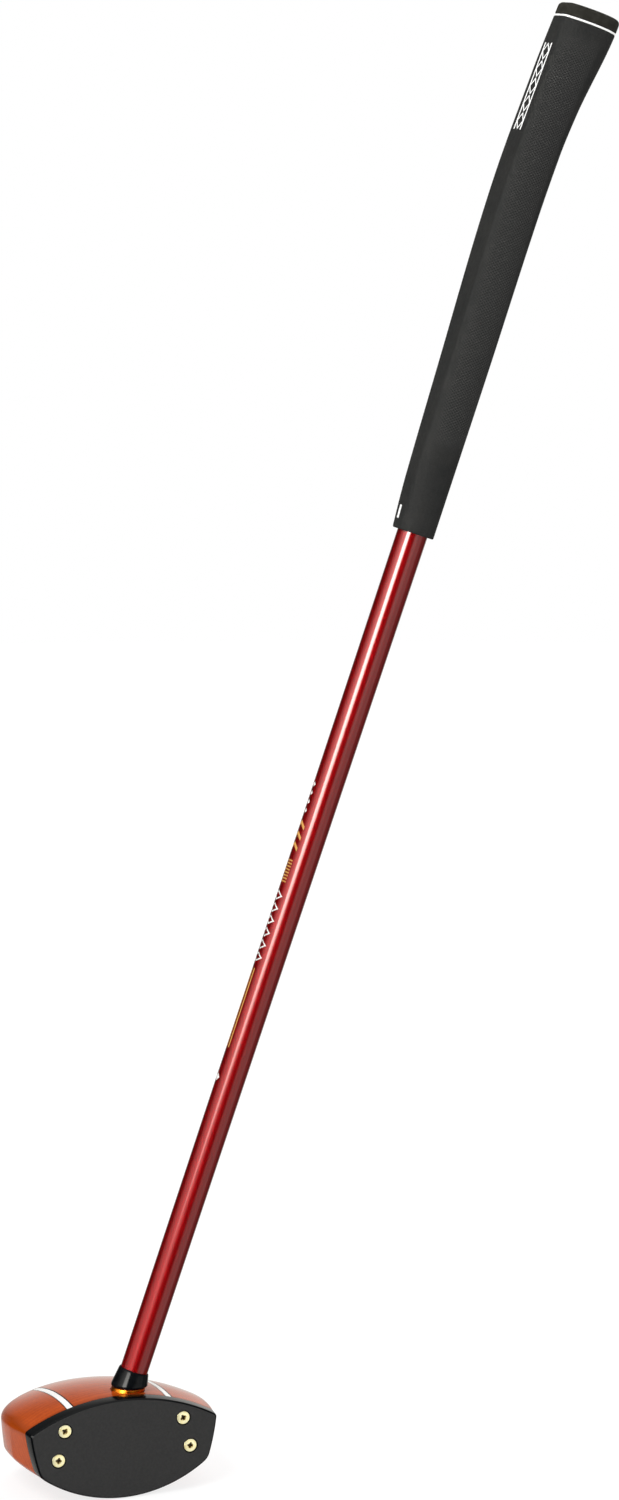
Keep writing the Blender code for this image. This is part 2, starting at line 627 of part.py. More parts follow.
def shaft(head, axis, material):
    """The tube, and the blind bore that it is glued into."""
    wall = SHAFT_WALL
    tip, butt = SHAFT_TIP_DIAMETER / 2.0, BUTT_RADIUS
    tube = spun([(tip, SHAFT_TIP), (butt, GRIP_MOUTH), (butt, SHAFT_TOP), (butt - wall, SHAFT_TOP),
                 (butt - wall, GRIP_MOUTH), (tip - wall, SHAFT_TIP)], closed=True)
    add_object("shaft", tube, material, axis)
    bore = shaft_radius(crown_place() + AMBER_RING_RADIUS) + FIT_GAP
    hole = spun([(0.0, BORE_BOTTOM), (bore, BORE_BOTTOM), (bore, FACE_HEIGHT * 1.5),
                 (0.0, FACE_HEIGHT * 1.5)])
    cut(head, add_object("shaft_bore", hole, None, axis))


def tip_plug(axis, material):
    """A stopper in the shaft's tip that keeps glue out of the tube."""
    radius = SHAFT_TIP_DIAMETER / 2.0 - SHAFT_WALL - FIT_GAP
    low = SHAFT_TIP + TIP_PLUG_INSET
    plug = spun([(0.0, low), (radius, low), (radius, low + TIP_PLUG_LENGTH),
                 (0.0, low + TIP_PLUG_LENGTH)])
    add_object("shaft_tip_plug", plug, material, axis)


def grip_tape(axis, material):
    """A thin sleeve of tape between the shaft and the rubber."""
    inner = BUTT_RADIUS + FIT_GAP
    outer = inner + TAPE_THICKNESS
    low = GRIP_MOUTH + GRIP_LIP_LENGTH + TAPE_END_MARGIN
    high = SHAFT_TOP - TAPE_END_MARGIN
    sleeve = spun([(inner, low), (outer, low), (outer, high), (inner, high)], closed=True)
    add_object("grip_tape", sleeve, material, axis)


def round_ring(radius, place):
    """A circle of points across the shaft's axis, starting on the thumb side."""
    angles = [math.tau * i / GRIP_STEPS for i in range(GRIP_STEPS)]
    return [Vector((-radius * math.cos(a), radius * math.sin(a), place)) for a in angles]


def grip_ring(place, inset=0.0):
    """Outline of the grip at a place: an ellipse cut by the thumb flat, with a soft ridge."""
    share = (place - GRIP_MOUTH) / GRIP_LENGTH
    thumb = BUTT_RADIUS + smooth_value(THUMB_WALL, share)
    palm = BUTT_RADIUS + smooth_value(PALM_WALL, share)
    side = BUTT_RADIUS + smooth_value(SIDE_WALL, share)
    flat = min(smooth_value(THUMB_FLAT, share), 0.95)
    reach_at_flat = math.sqrt(1.0 - flat ** 2)
    centre = (thumb - reach_at_flat * palm) / (1.0 + reach_at_flat)
    points = []
    for i in range(GRIP_STEPS):
        angle = math.tau * i / GRIP_STEPS
        up = centre + (centre + palm) * math.cos(angle)
        up = (up + thumb - math.hypot(up - thumb, RIDGE_SOFTNESS)) / 2.0
        point = Vector((-up, side * math.sin(angle)))
        point -= point.normalized() * inset
        points.append(Vector((point.x, point.y, place)))
    return points


def grip(axis, material):
    """The rubber sleeve."""
    body_low = GRIP_MOUTH + GRIP_LIP_ROUND
    outer = [grip_ring(GRIP_MOUTH, GRIP_LIP_ROUND)]
    for i in range(GRIP_STATIONS + 1):
        outer.append(grip_ring(body_low + (GRIP_TOP - body_low) * i / GRIP_STATIONS))
    lip_bore = BUTT_RADIUS + FIT_GAP
    lip_top = GRIP_MOUTH + GRIP_LIP_LENGTH
    inner = [round_ring(GRIP_BORE, GRIP_TOP), round_ring(GRIP_BORE, lip_top + FIT_GAP),
             round_ring(lip_bore, lip_top), round_ring(lip_bore, GRIP_MOUTH)]
    add_object("grip", loft(outer + inner, closed=True), material, axis)


def grip_white_ring(axis, material):
    """The thin white ring below the cap."""
    high = RING_BOTTOM + WHITE_RING_HEIGHT
    rings = [grip_ring(RING_BOTTOM), grip_ring(high), round_ring(GRIP_BORE, high),
             round_ring(GRIP_BORE, RING_BOTTOM)]
    add_object("grip_ring", loft(rings, closed=True), material, axis)


def grip_cap(axis, material):
    """The butt cap, with its spigot in the shaft and a vent hole through both."""
    vent = VENT_DIAMETER / 2.0
    spigot = BUTT_RADIUS - SHAFT_WALL - FIT_GAP
    spigot_end = CAP_BOTTOM - CAP_SPIGOT_LENGTH
    rings = [grip_ring(CAP_BOTTOM)]
    for i in range(5):
        angle = math.pi / 2.0 * i / 4.0
        place = CLUB_LENGTH - CAP_ROUND * (1.0 - math.sin(angle))
        rings.append(grip_ring(place, CAP_ROUND * (1.0 - math.cos(angle))))
    rings += [round_ring(vent, CLUB_LENGTH), round_ring(vent, spigot_end),
              round_ring(spigot, spigot_end), round_ring(spigot, CAP_BOTTOM)]
    add_object("grip_cap", loft(rings, closed=True), material, axis)


def build_club():
    """Model every piece of the club."""
    clear_scene()
    wood = finish("lacquered wood", (0.62, 0.10, 0.012), 0.15)
    plate_black = finish("black plate resin", (0.042, 0.042, 0.042), 0.5)
    gloss_black = finish("gloss black plastic", (0.01, 0.01, 0.012), 0.1)
    amber = finish("amber anodised ring", (0.9, 0.33, 0.03), 0.2, 1.0)
    brass = finish("brass", (0.80, 0.62, 0.25), 0.25, 1.0)
    white = finish("white plastic", (0.85, 0.85, 0.83), 0.35)
    red = finish("red metallic lacquer", (0.36, 0.012, 0.02), 0.2, 0.4)
    rubber = finish("black rubber", (0.035, 0.035, 0.035), 0.7)
    cap_rubber = finish("grey-black cap rubber", (0.05, 0.047, 0.042), 0.65)
    cork = finish("cork", (0.45, 0.28, 0.14), 0.9)
    paper = finish("masking tape", (0.75, 0.68, 0.5), 0.8)

    head = wooden_head(wood)
    plate = striking_plate(plate_black)
    alignment_lines(head, white)
    face_screws(plate, head, brass)
    brass_plate = sole_plate(head, brass)
    sole_screws(brass_plate, head, brass)
    balance_weight(head, brass)

    axis = shaft_axis()
    shaft(head, axis, red)
    tip_plug(axis, cork)
    neck(head, axis, gloss_black, amber)
    grip_tape(axis, paper)
    grip(axis, rubber)
    grip_white_ring(axis, white)
    grip_cap(axis, cap_rubber)


build_club()
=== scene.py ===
# Park golf club at address: the finished look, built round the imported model.
import math

import bmesh
import bpy
import numpy as np
from mathutils import Matrix, Vector


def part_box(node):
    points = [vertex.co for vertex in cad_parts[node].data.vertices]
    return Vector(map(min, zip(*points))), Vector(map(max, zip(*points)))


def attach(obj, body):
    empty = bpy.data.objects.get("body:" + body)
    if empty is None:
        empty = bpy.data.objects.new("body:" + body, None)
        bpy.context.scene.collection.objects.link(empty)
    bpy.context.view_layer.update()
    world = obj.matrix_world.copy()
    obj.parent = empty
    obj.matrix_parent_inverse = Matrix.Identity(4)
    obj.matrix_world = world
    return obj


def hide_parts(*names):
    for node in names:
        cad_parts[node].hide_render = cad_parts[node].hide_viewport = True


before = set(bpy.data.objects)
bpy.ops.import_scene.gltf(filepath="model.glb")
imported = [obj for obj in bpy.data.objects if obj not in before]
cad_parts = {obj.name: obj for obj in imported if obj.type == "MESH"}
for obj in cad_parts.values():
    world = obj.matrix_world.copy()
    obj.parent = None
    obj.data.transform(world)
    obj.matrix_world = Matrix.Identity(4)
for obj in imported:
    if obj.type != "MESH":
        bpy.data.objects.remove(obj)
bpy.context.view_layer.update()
print("frame loaded:", len(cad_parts), "pieces")

mm = 0.001

# sizes that several pieces share; places on the shaft count from the ground up along its axis
club = {
    "lieAngle": math.radians(70.0),
    "length": 841.5 * mm,
    "gap": 0.3 * mm,  # between pieces that touch
    "faceY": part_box("face_plate")[0].y,  # the striking face; depths count back from it
    "crownX": 7.9 * mm,  # where the shaft's axis leaves the crown
    "tipRadius": 7.5 * mm,
    "buttRadius": 8.4 * mm,
    "shaftWall": 1.2 * mm,
    "gripLength": 294.5 * mm,
    "whiteRing": 1.1 * mm,
    "capHeight": 6.8 * mm,
}
gripMouth = club["length"] - club["gripLength"]
capBottom = club["length"] - club["capHeight"]
ringBottom = capBottom - club["gap"] - club["whiteRing"]
gripTop = ringBottom - club["gap"]
gripBore = club["buttRadius"] + 3.0 * club["gap"]


# Colours, nodes and materials

def hexColour(text):
    # sRGB hex to the linear colour that a socket takes
    parts = [int(text[i:i + 2], 16) / 255.0 for i in (0, 2, 4)]
    linear = [v / 12.92 if v <= 0.04045 else ((v + 0.055) / 1.055) ** 2.4 for v in parts]
    return (*linear, 1.0)


def addNode(tree, kind, inputs=None, **settings):
    # one node with its settings; an input is a value or another node's output
    made = tree.nodes.new("ShaderNode" + kind)
    for name, value in settings.items():
        setattr(made, name, value)
    for socket, value in (inputs or {}).items():
        if isinstance(value, bpy.types.NodeSocket):
            tree.links.new(value, made.inputs[socket])
        else:
            made.inputs[socket].default_value = value
    return made


def newMaterial(name, constants):
    # a Principled material whose even values sit on the shader's own sockets
    material = bpy.data.materials.new(name)
    material.use_nodes = True
    shader = material.node_tree.nodes["Principled BSDF"]
    for socket, value in constants.items():
        shader.inputs[socket].default_value = value
    return material, material.node_tree


def finished(material, patterns):
    # the material with each pattern linked to the shader's socket of that name
    tree = material.node_tree
    for socket, output in patterns.items():
        tree.links.new(output, tree.nodes["Principled BSDF"].inputs[socket])
    return material


def objectPlace(tree, stretch=(1.0, 1.0, 1.0), turn=(0.0, 0.0, 0.0)):
    # Object coordinates in metres, turned and then scaled along each axis
    place = addNode(tree, "TexCoord").outputs["Object"]
    facing = addNode(tree, "Mapping", {"Vector": place, "Rotation": turn}).outputs[0]
    return addNode(tree, "Mapping", {"Vector": facing, "Scale": stretch}).outputs[0]


def wander(tree, size, low=0.0, high=1.0, detail=2.0, place=None):
    # a value from low to high that wanders over features of the given size; the noise itself
    # runs from about 0.3 to 0.7
    if place is None:
        place = objectPlace(tree)
    noise = addNode(tree, "TexNoise", {"Vector": place, "Scale": 1.0 / size, "Detail": detail})
    spread = addNode(tree, "MapRange", {"Value": noise.outputs[0], "From Min": 0.3,
                                        "From Max": 0.7, "To Min": low, "To Max": high})
    return spread.outputs[0]


def surfaceUv(tree):
    # the piece's own UV map, in metres across and along it
    uv = addNode(tree, "UVMap", uv_map="surface").outputs[0]
    parts = addNode(tree, "SeparateXYZ", {0: uv})
    return parts.outputs[0], parts.outputs[1]


def awayFrom(tree, value, middle=0.0):
    # distance between the value and the middle
    offset = addNode(tree, "Math", {0: value, 1: middle}, operation="SUBTRACT").outputs[0]
    return addNode(tree, "Math", {0: offset}, operation="ABSOLUTE").outputs[0]


def fromMiddle(tree, value, pitch):
    # distance to the middle of the pitch that the value lies in
    phase = addNode(tree, "Math", {0: value, 1: pitch}, operation="FLOORED_MODULO").outputs[0]
    return awayFrom(tree, phase, pitch / 2.0)


def within(tree, value, middle, halfWidth, softness):
    # 1 where the value is nearer than halfWidth to the middle, 0 outside, with a soft edge
    edge = addNode(tree, "MapRange", {
        "Value": awayFrom(tree, value, middle), "From Min": halfWidth - softness,
        "From Max": halfWidth + softness, "To Min": 1.0, "To Max": 0.0})
    return edge.outputs[0]


def between(tree, value, ends, softness):
    # 1 between the two ends, 0 outside, with soft edges
    low, high = ends
    return within(tree, value, (low + high) / 2.0, (high - low) / 2.0, softness)


def chained(tree, operation, values):
    # the values joined one after another by the operation
    total = values[0]
    for value in values[1:]:
        total = addNode(tree, "Math", {0: total, 1: value}, operation=operation).outputs[0]
    return total


def product(tree, *factors):
    # all the factors multiplied
    return chained(tree, "MULTIPLY", factors)


def largest(tree, *values):
    # the largest of the values
    return chained(tree, "MAXIMUM", values)


def layered(tree, lowest, *layers):
    # sRGB colours laid over one another, each hiding what is under it by its own share
    colour = hexColour(lowest)
    for share, top in layers:
        colour = addNode(tree, "Mix", {0: share, 6: colour, 7: hexColour(top)},
                         data_type="RGBA").outputs[2]
    return colour


# Meshes from grids of points

def surfacePiece(name, grid, material=None, loopRows=False, acrossUv=None, alongUv=None):
    # A closed piece. grid[i, j] is point j round row i. The rows run from one pole to the other,
    # or back to the first when loopRows is true. The UV map, if any, is in metres, and has one
    # column more than the grid, for its seam.
    rows, columns = grid.shape[:2]
    index = np.arange(rows * columns).reshape(rows, columns)
    above = np.roll(index, -1, axis=0)
    kept = rows if loopRows else rows - 1
    corners = [index, np.roll(index, -1, axis=1), np.roll(above, -1, axis=1), above]
    quads = np.stack([corner[:kept] for corner in corners], axis=-1).reshape(-1, 4)
    mesh = bpy.data.meshes.new(name)
    mesh.from_pydata(grid.reshape(-1, 3).tolist(), [], quads.tolist())
    if acrossUv is not None:
        corners = []
        for values in (acrossUv, alongUv):
            values = np.broadcast_to(values, (rows, columns + 1))
            above = np.roll(values, -1, axis=0)
            corners.append(np.stack([values[:kept, :-1], values[:kept, 1:],
                                     above[:kept, 1:], above[:kept, :-1]], axis=-1))
        layer = mesh.uv_layers.new(name="surface")
        layer.data.foreach_set("uv", np.stack(corners, axis=-1).astype(np.float32).ravel())
    bm = bmesh.new()
    bm.from_mesh(mesh)
    bmesh.ops.remove_doubles(bm, verts=bm.verts, dist=0.0005 * mm)
    bmesh.ops.recalc_face_normals(bm, faces=bm.faces)
    bm.to_mesh(mesh)
    bm.free()
    piece = bpy.data.objects.new(name, mesh)
    bpy.context.scene.collection.objects.link(piece)
    if material:
        mesh.materials.append(material)
    smoothShade(piece)
    return piece


def arcUv(grid):
    # distance round each row in metres, counted from the middle column
    loop = np.concatenate([grid, grid[:, :1]], axis=1)
    steps = np.linalg.norm(np.diff(loop, axis=1), axis=-1)
    length = np.concatenate([np.zeros((len(grid), 1)), np.cumsum(steps, axis=1)], axis=1)
    return length - length[:, grid.shape[1] // 2][:, None]


sharpAngle = math.radians(35.0)


def smoothShade(piece):
    # smooth faces, with a hard edge wherever two meet at more than the sharp angle
    piece.data.shade_smooth()
    piece.data.set_sharp_from_angle(angle=sharpAngle)


def cutOut(piece, cutters):
    # take each cutter's shape out of the piece, then drop the cutters
    for cutter in cutters:
        modifier = piece.modifiers.new("cut", "BOOLEAN")
        modifier.operation = "DIFFERENCE"
        modifier.solver = "EXACT"
        modifier.object = cutter
    bpy.context.view_layer.update()
    depsgraph = bpy.context.evaluated_depsgraph_get()
    carved = bpy.data.meshes.new_from_object(piece.evaluated_get(depsgraph))
    piece.modifiers.clear()
    piece.data = carved
    for cutter in cutters:
        bpy.data.objects.remove(cutter, do_unlink=True)
    smoothShade(piece)


def quadratic(start, corner, end, t):
    # the curve start (1 - t)^2 + 2 corner t (1 - t) + end t^2
    return start * (1 - t) ** 2 + 2 * corner * t * (1 - t) + end * t ** 2


def evenly(path, count, endpoint=True):
    # the path through evenly spaced points
    length = np.concatenate([[0.0], np.cumsum(np.linalg.norm(np.diff(path, axis=0), axis=1))])
    even = np.linspace(0.0, length[-1], count, endpoint=endpoint)
    return np.stack([np.interp(even, length, path[:, k]) for k in (0, 1)], axis=1)


def raised(plan, height):
    # points of a plan with one height each, or one for all
    height = np.broadcast_to(np.asarray(height, float)[..., None], (*plan.shape[:-1], 1))
    return np.concatenate([plan, height], axis=-1)


def rounded(corners, radius, steps=5, closed=False):
    # A profile with its corners rounded: a quadratic curve leaves each side of a corner at the
    # radius, or halfway to the next corner where that is nearer. Open ends stay as they are.
    corners = np.asarray(corners, float)
    before = np.roll(corners, 1, axis=0)
    after = np.roll(corners, -1, axis=0)
    t = np.linspace(0.0, 1.0, steps)[:, None]
    points = []
    for i, corner in enumerate(corners):
        if not closed and i in (0, len(corners) - 1):
            points.append(corner[None, :])
            continue
        toBefore, toAfter = before[i] - corner, after[i] - corner
        start = corner + toBefore * min(radius / np.linalg.norm(toBefore), 0.5)
        end = corner + toAfter * min(radius / np.linalg.norm(toAfter), 0.5)
        points.append(quadratic(start, corner, end, t))
    return np.concatenate(points)


def turned(profile, steps):
    # (radius, height) points spun round Z: x = r cos a, y = r sin a, z = height
    radius, height = np.asarray(profile, float).T
    angle = np.linspace(0.0, math.tau, steps, endpoint=False)
    return np.stack([np.outer(radius, np.cos(angle)), np.outer(radius, np.sin(angle)),
                     np.outer(height, np.ones(steps))], axis=-1)


def cylinder(radius, low, high, steps):
    # a plain cylinder along Z, closed at both ends
    return turned([(0.0, low), (radius, low), (radius, high), (0.0, high)], steps)


def smoothCurve(stations, share):
    # cubic through (share, value) stations whose slopes are harmonic means, so it never overshoots
    places, values = np.asarray(stations, float).T
    slopes = np.diff(values) / np.diff(places)
    joined = slopes[:-1] * slopes[1:]
    means = np.where(joined > 0.0, 2.0 * joined / (slopes[:-1] + slopes[1:] + 1e-12), 0.0)
    tangents = np.concatenate([slopes[:1], means, slopes[-1:]])
    i = np.clip(np.searchsorted(places, share, side="right") - 1, 0, len(slopes) - 1)
    span = places[i + 1] - places[i]
    t = (share - places[i]) / span
    return (values[i] * (1 + 2 * t) * (1 - t) ** 2 + values[i + 1] * (3 - 2 * t) * t ** 2
            + span * t * (1 - t) * (tangents[i] * (1 - t) - tangents[i + 1] * t))


def dress(piece, node):
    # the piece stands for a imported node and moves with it
    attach(piece, "root")
    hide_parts(node)


# Camera, floor and studio

photo = {
    "height": 1500,  # pixels
    "focalPixels": 4914.8,
    "sensor": 36.0,  # mm along the frame's long side
    "camera": Vector((-781.9, -2466.2, 858.6)) * mm,
    "yaw": math.radians(20.183),  # to the right of straight ahead
    "pitch": math.radians(10.010),  # downwards
    "roll": math.radians(-0.351),
}


def addCamera():
    # looks along (sin yaw cos pitch, cos yaw cos pitch, -sin pitch) and rolls about that line
    yaw, pitch = photo["yaw"], photo["pitch"]
    ahead = Vector((math.sin(yaw) * math.cos(pitch), math.cos(yaw) * math.cos(pitch),
                    -math.sin(pitch)))
    lens = bpy.data.cameras.new("camera")
    lens.sensor_width = photo["sensor"]
    lens.lens = photo["focalPixels"] * photo["sensor"] / photo["height"]
    camera = bpy.data.objects.new("camera", lens)
    camera.location = photo["camera"]
    level = ahead.to_track_quat("-Z", "Y").to_matrix()
    camera.rotation_euler = (level @ Matrix.Rotation(photo["roll"], 3, "Z")).to_euler()
    bpy.context.scene.collection.objects.link(camera)
    bpy.context.scene.camera = camera


# azimuths run from 0 straight in front of the face towards the heel, elevations from level, both
# in degrees: (middle, half width, softness) each way, and how bright the light looks in a gloss
paintedLights = {
    "backdrop": ((147.0, 19.0, 17.0), (-5.0, 27.0, 9.0), 0.95),
    "horizonLeft": ((178.0, 16.0, 8.0), (-14.0, 20.0, 8.0), 0.35),
    "tableLeft": ((205.0, 25.0, 6.0), (-32.0, 16.0, 5.0), 0.35),
    "tableRight": ((33.0, 30.0, 7.0), (-22.0, 22.0, 4.0), 0.95),
    "tableFarRight": ((78.0, 18.0, 10.0), (-22.0, 22.0, 4.0), 0.22),
    "reflectorRight": ((18.0, 14.0, 8.0), (-4.0, 8.0, 5.0), 0.60),
    "softboxGlow": ((-66.0, 18.0, 18.0), (22.0, 14.0, 14.0), 5.0),
    "softbox": ((-48.0, 12.0, 4.0), (16.2, 7.8, 7.0), 30.0),
    "softboxFoot": ((-46.0, 14.0, 6.0), (3.0, 7.0, 4.0), 1.5),
    "wallLeft": ((-100.0, 12.0, 8.0), (14.0, 26.0, 8.0), 0.6),
    "overhead": ((40.0, 200.0, 5.0), (90.0, 32.0, 12.0), 1.3),
    "room": ((40.0, 200.0, 5.0), (40.0, 20.0, 8.0), 0.12),
    "underfoot": ((40.0, 200.0, 5.0), (-90.0, 32.0, 8.0), 0.35),
}
studio = {
    "turn": 40.0,  # the azimuth that the count is centred on, so it wraps where it is dark
    "colour": "FFFCF6",  # the painted lights are slightly warm
    "dark": 0.02,  # what a gloss shows between them
    "plain": 0.75,  # even light on everything that isn't gloss
    "floorRadius": 3.0,
    "floorThickness": 0.002,
    "floorColumns": 64,
    "floorSeenInGloss": (0.036, 0.06),  # metres round the head; past it a gloss shows the studio
    "floorWhite": 1.06,  # the paper's own white, for the camera
    "floorGlow": 0.75,  # share of that white next to the head
    "shadowReach": (0.21, 0.7),  # metres; past it the floor is pure white
}


def rayKinds(tree):
    # 1 for the rays of a gloss, and 1 for what the camera sees straight or through a clear piece
    ray = addNode(tree, "LightPath").outputs
    return ray["Is Glossy Ray"], largest(tree, ray["Is Camera Ray"], ray["Is Transmission Ray"])


def studioWorld():
    # white for the camera, painted softboxes for gloss, an even grey for everything else
    world = bpy.data.worlds.new("whiteStudio")
    bpy.context.scene.world = world
    world.use_nodes = True
    tree = world.node_tree
    tree.nodes.clear()
    direction = addNode(tree, "TexCoord").outputs["Generated"]
    centred = addNode(tree, "Mapping", {
        "Vector": direction, "Rotation": (0.0, 0.0, -math.radians(studio["turn"]))})
    axes = addNode(tree, "SeparateXYZ", {0: centred.outputs[0]})
    ahead = addNode(tree, "Math", {0: axes.outputs[1], 1: -1.0}, operation="MULTIPLY").outputs[0]
    angle = addNode(tree, "Math", {0: axes.outputs[0], 1: ahead}, operation="ARCTAN2").outputs[0]
    azimuth = addNode(tree, "Math", {0: angle, 1: math.degrees(1.0), 2: studio["turn"]},
                      operation="MULTIPLY_ADD").outputs[0]
    rise = addNode(tree, "Math", {0: axes.outputs[2]}, operation="ARCSINE").outputs[0]
    elevation = product(tree, rise, math.degrees(1.0))
    glows = [studio["dark"]]
    for across, upright, strength in paintedLights.values():
        glows.append(product(tree, within(tree, azimuth, *across),
                             within(tree, elevation, *upright), strength))
    painted, plain, white = [
        addNode(tree, "Background", {"Color": hexColour(colour), "Strength": strength}).outputs[0]
        for colour, strength in ((studio["colour"], chained(tree, "ADD", glows)),
                                 ("FFFFFF", studio["plain"]), ("FFFFFF", 1.0))]
    glossy, direct = rayKinds(tree)
    lit = addNode(tree, "MixShader", {0: glossy, 1: plain, 2: painted}).outputs[0]
    seen = addNode(tree, "MixShader", {0: direct, 1: lit, 2: white}).outputs[0]
    addNode(tree, "OutputWorld", {0: seen})


def addFloor():
    # matt white paper; its own white for the camera keeps the club's shadow faint
    radius, low = studio["floorRadius"], -studio["floorThickness"]
    profile = [(0.0, low), (radius, low), (radius, 0.0), (0.0, 0.0)]
    material = bpy.data.materials.new("mattWhitePaper")
    material.use_nodes = True
    tree = material.node_tree
    tree.nodes.clear()
    paper = addNode(tree, "BsdfDiffuse", {"Color": hexColour("F6F6F6")}).outputs[0]
    place = objectPlace(tree)
    distance = addNode(tree, "VectorMath", {0: place}, operation="LENGTH").outputs["Value"]
    glow = addNode(tree, "Emission", {"Color": hexColour("FFFFFF"),
                                      "Strength": studio["floorWhite"]}).outputs[0]
    clear = addNode(tree, "BsdfTransparent").outputs[0]
    glossy, direct = rayKinds(tree)
    near, far = studio["shadowReach"]
    glowing = addNode(tree, "MapRange", {"Value": distance, "From Min": near, "From Max": far,
                                         "To Min": studio["floorGlow"], "To Max": 1.0}).outputs[0]
    seen = addNode(tree, "MixShader", {0: product(tree, direct, glowing), 1: paper, 2: glow})
    near, far = studio["floorSeenInGloss"]
    beyond = addNode(tree, "MapRange", {"Value": distance, "From Min": near, "From Max": far})
    hidden = product(tree, glossy, beyond.outputs[0])
    whole = addNode(tree, "MixShader", {0: hidden, 1: seen.outputs[0], 2: clear})
    addNode(tree, "OutputMaterial", {0: whole.outputs[0]})
    surfacePiece("floor", turned(profile, studio["floorColumns"]), material)


lamps = {
    # name: azimuth, elevation, distance, size, power in watts
    "keyLamp": (-50.0, 42.0, 1.9, 0.9, 20.0),
    "fillLamp": (50.0, 25.0, 2.2, 1.2, 8.0),
    "topLamp": (150.0, 70.0, 1.8, 1.2, 7.0),
}


def addLamps():
    # soft area lamps that face the middle of the club; the gloss comes from the painted studio
    aim = Vector((0.12, 0.0, 0.3))
    for name, (azimuth, elevation, distance, size, power) in lamps.items():
        a, e = math.radians(azimuth), math.radians(elevation)
        towards = Vector((math.sin(a) * math.cos(e), -math.cos(a) * math.cos(e), math.sin(e)))
        light = bpy.data.lights.new(name, "AREA")
        light.shape = "DISK"
        light.size = size
        light.energy = power
        lamp = bpy.data.objects.new(name, light)
        lamp.location = aim + towards * distance
        lamp.rotation_euler = towards.to_track_quat("Z", "Y").to_euler()
        lamp.visible_glossy = False
        bpy.context.scene.collection.objects.link(lamp)


bpy.context.scene.view_settings.view_transform = "Standard"
addCamera()
studioWorld()
addFloor()
addLamps()
print("camera, floor and studio ready")


# Wooden head: shape functions of x, towards the heel, and depth, back from the striking face

headForm = {
    "faceHalfWidth": 53.6 * mm,  # top corners of the plate
    "faceEndLean": 5.4 * mm,  # how much narrower it is at the sole
    "faceHeight": 55.4 * mm,
    "crownRise": 14.4 * mm,
    "soleRise": 16.4 * mm,
    "groundClearance": 0.4 * mm,
    "plateThickness": 8.4 * mm,
    "depth": 80.0 * mm,
    "flankBulge": 2.4 * mm,
    "widestDepth": 33.0 * mm,
    "backSquareness": 2.7,  # power of the superellipse round the back
    "sideLean": 1.8 * mm,  # where the sides stand steepest
    "sideLeanReach": 20.0 * mm,
    "sideBarrel": 0.5,
    "crownPeakDepth": 15.0 * mm,
    "crownRadiusAlong": 195.0 * mm,
    "trailingLength": 30.0 * mm,
    "trailingRadius": 90.0 * mm,
    "rimSetback": 3.0 * mm,
    "rimSetbackAtFace": 1.5 * mm,
    "rimGrowth": 15.0 * mm,
    "soleSetback": 2.5 * mm,
    "rimShade": 3.2 * mm,  # half the width of the painted shade over the rim
    "outwardTurn": 5.0 * mm,  # depth over which the sides turn square to the rim
    "frontInset": 4.0 * mm,  # from the sole's corners to the first column across the front
    "flankSamples": 200,
    "backSamples": 2400,
    "columns": 340,
    "frontColumns": 90,
    "cornerColumns": 7,
    "crownRings": 44,
    "rimRows": 10,
    "sideRows": 26,
    "soleRings": 30,
}
lineForm = {
    "offset": 28.0 * mm,
    "width": 3.0 * mm,
    "thickness": 1.2 * mm,
    "endMargin": 2.0 * mm,
    "edgeRound": 0.15 * mm,
    "glue": 0.7 * mm,  # painted shade of the groove's gap either side
    "rows": 90,
}
woodFront = headForm["plateThickness"] + club["gap"]
woodMiddle = (woodFront + headForm["depth"]) / 2.0
headHalfWidth = headForm["faceHalfWidth"] + headForm["flankBulge"]


def arcRise(x, halfChord, rise):
    # height gained at x by a circle's arc that gains the rise at halfChord
    radius = (halfChord ** 2 + rise ** 2) / (2.0 * rise)
    return radius - np.sqrt(np.maximum(radius ** 2 - x ** 2, 0.0))


def halfWidthAt(depth):
    # an ellipse's flank from the plate to the widest place, then the same half width
    plateShare = headForm["faceHalfWidth"] / headHalfWidth
    flank = (headForm["widestDepth"] - woodFront) / math.sqrt(1.0 - plateShare ** 2)
    ahead = np.maximum(0.0, headForm["widestDepth"] - depth) / flank
    return headHalfWidth * np.sqrt(1.0 - ahead ** 2)


def crownHeight(x, depth):
    # an arc across, scaled to the head's width there, less a shallow arc along
    half = headForm["faceHalfWidth"]
    across = arcRise(x * half / halfWidthAt(depth), half, headForm["crownRise"])
    peak = headForm["crownPeakDepth"]
    along = (depth - peak) ** 2 - (woodFront - peak) ** 2
    return headForm["faceHeight"] - across - along / (2.0 * headForm["crownRadiusAlong"])


def soleHeight(x, depth):
    # a rocker across, and a parabola that lifts the trailing end
    corner = headForm["faceHalfWidth"] - headForm["faceEndLean"]
    width = halfWidthAt(depth) - headForm["faceEndLean"]
    rocker = arcRise(x * corner / width, corner, headForm["soleRise"])
    trailing = np.maximum(0.0, depth - headForm["depth"] + headForm["trailingLength"])
    return headForm["groundClearance"] + rocker + trailing ** 2 / (2 * headForm["trailingRadius"])


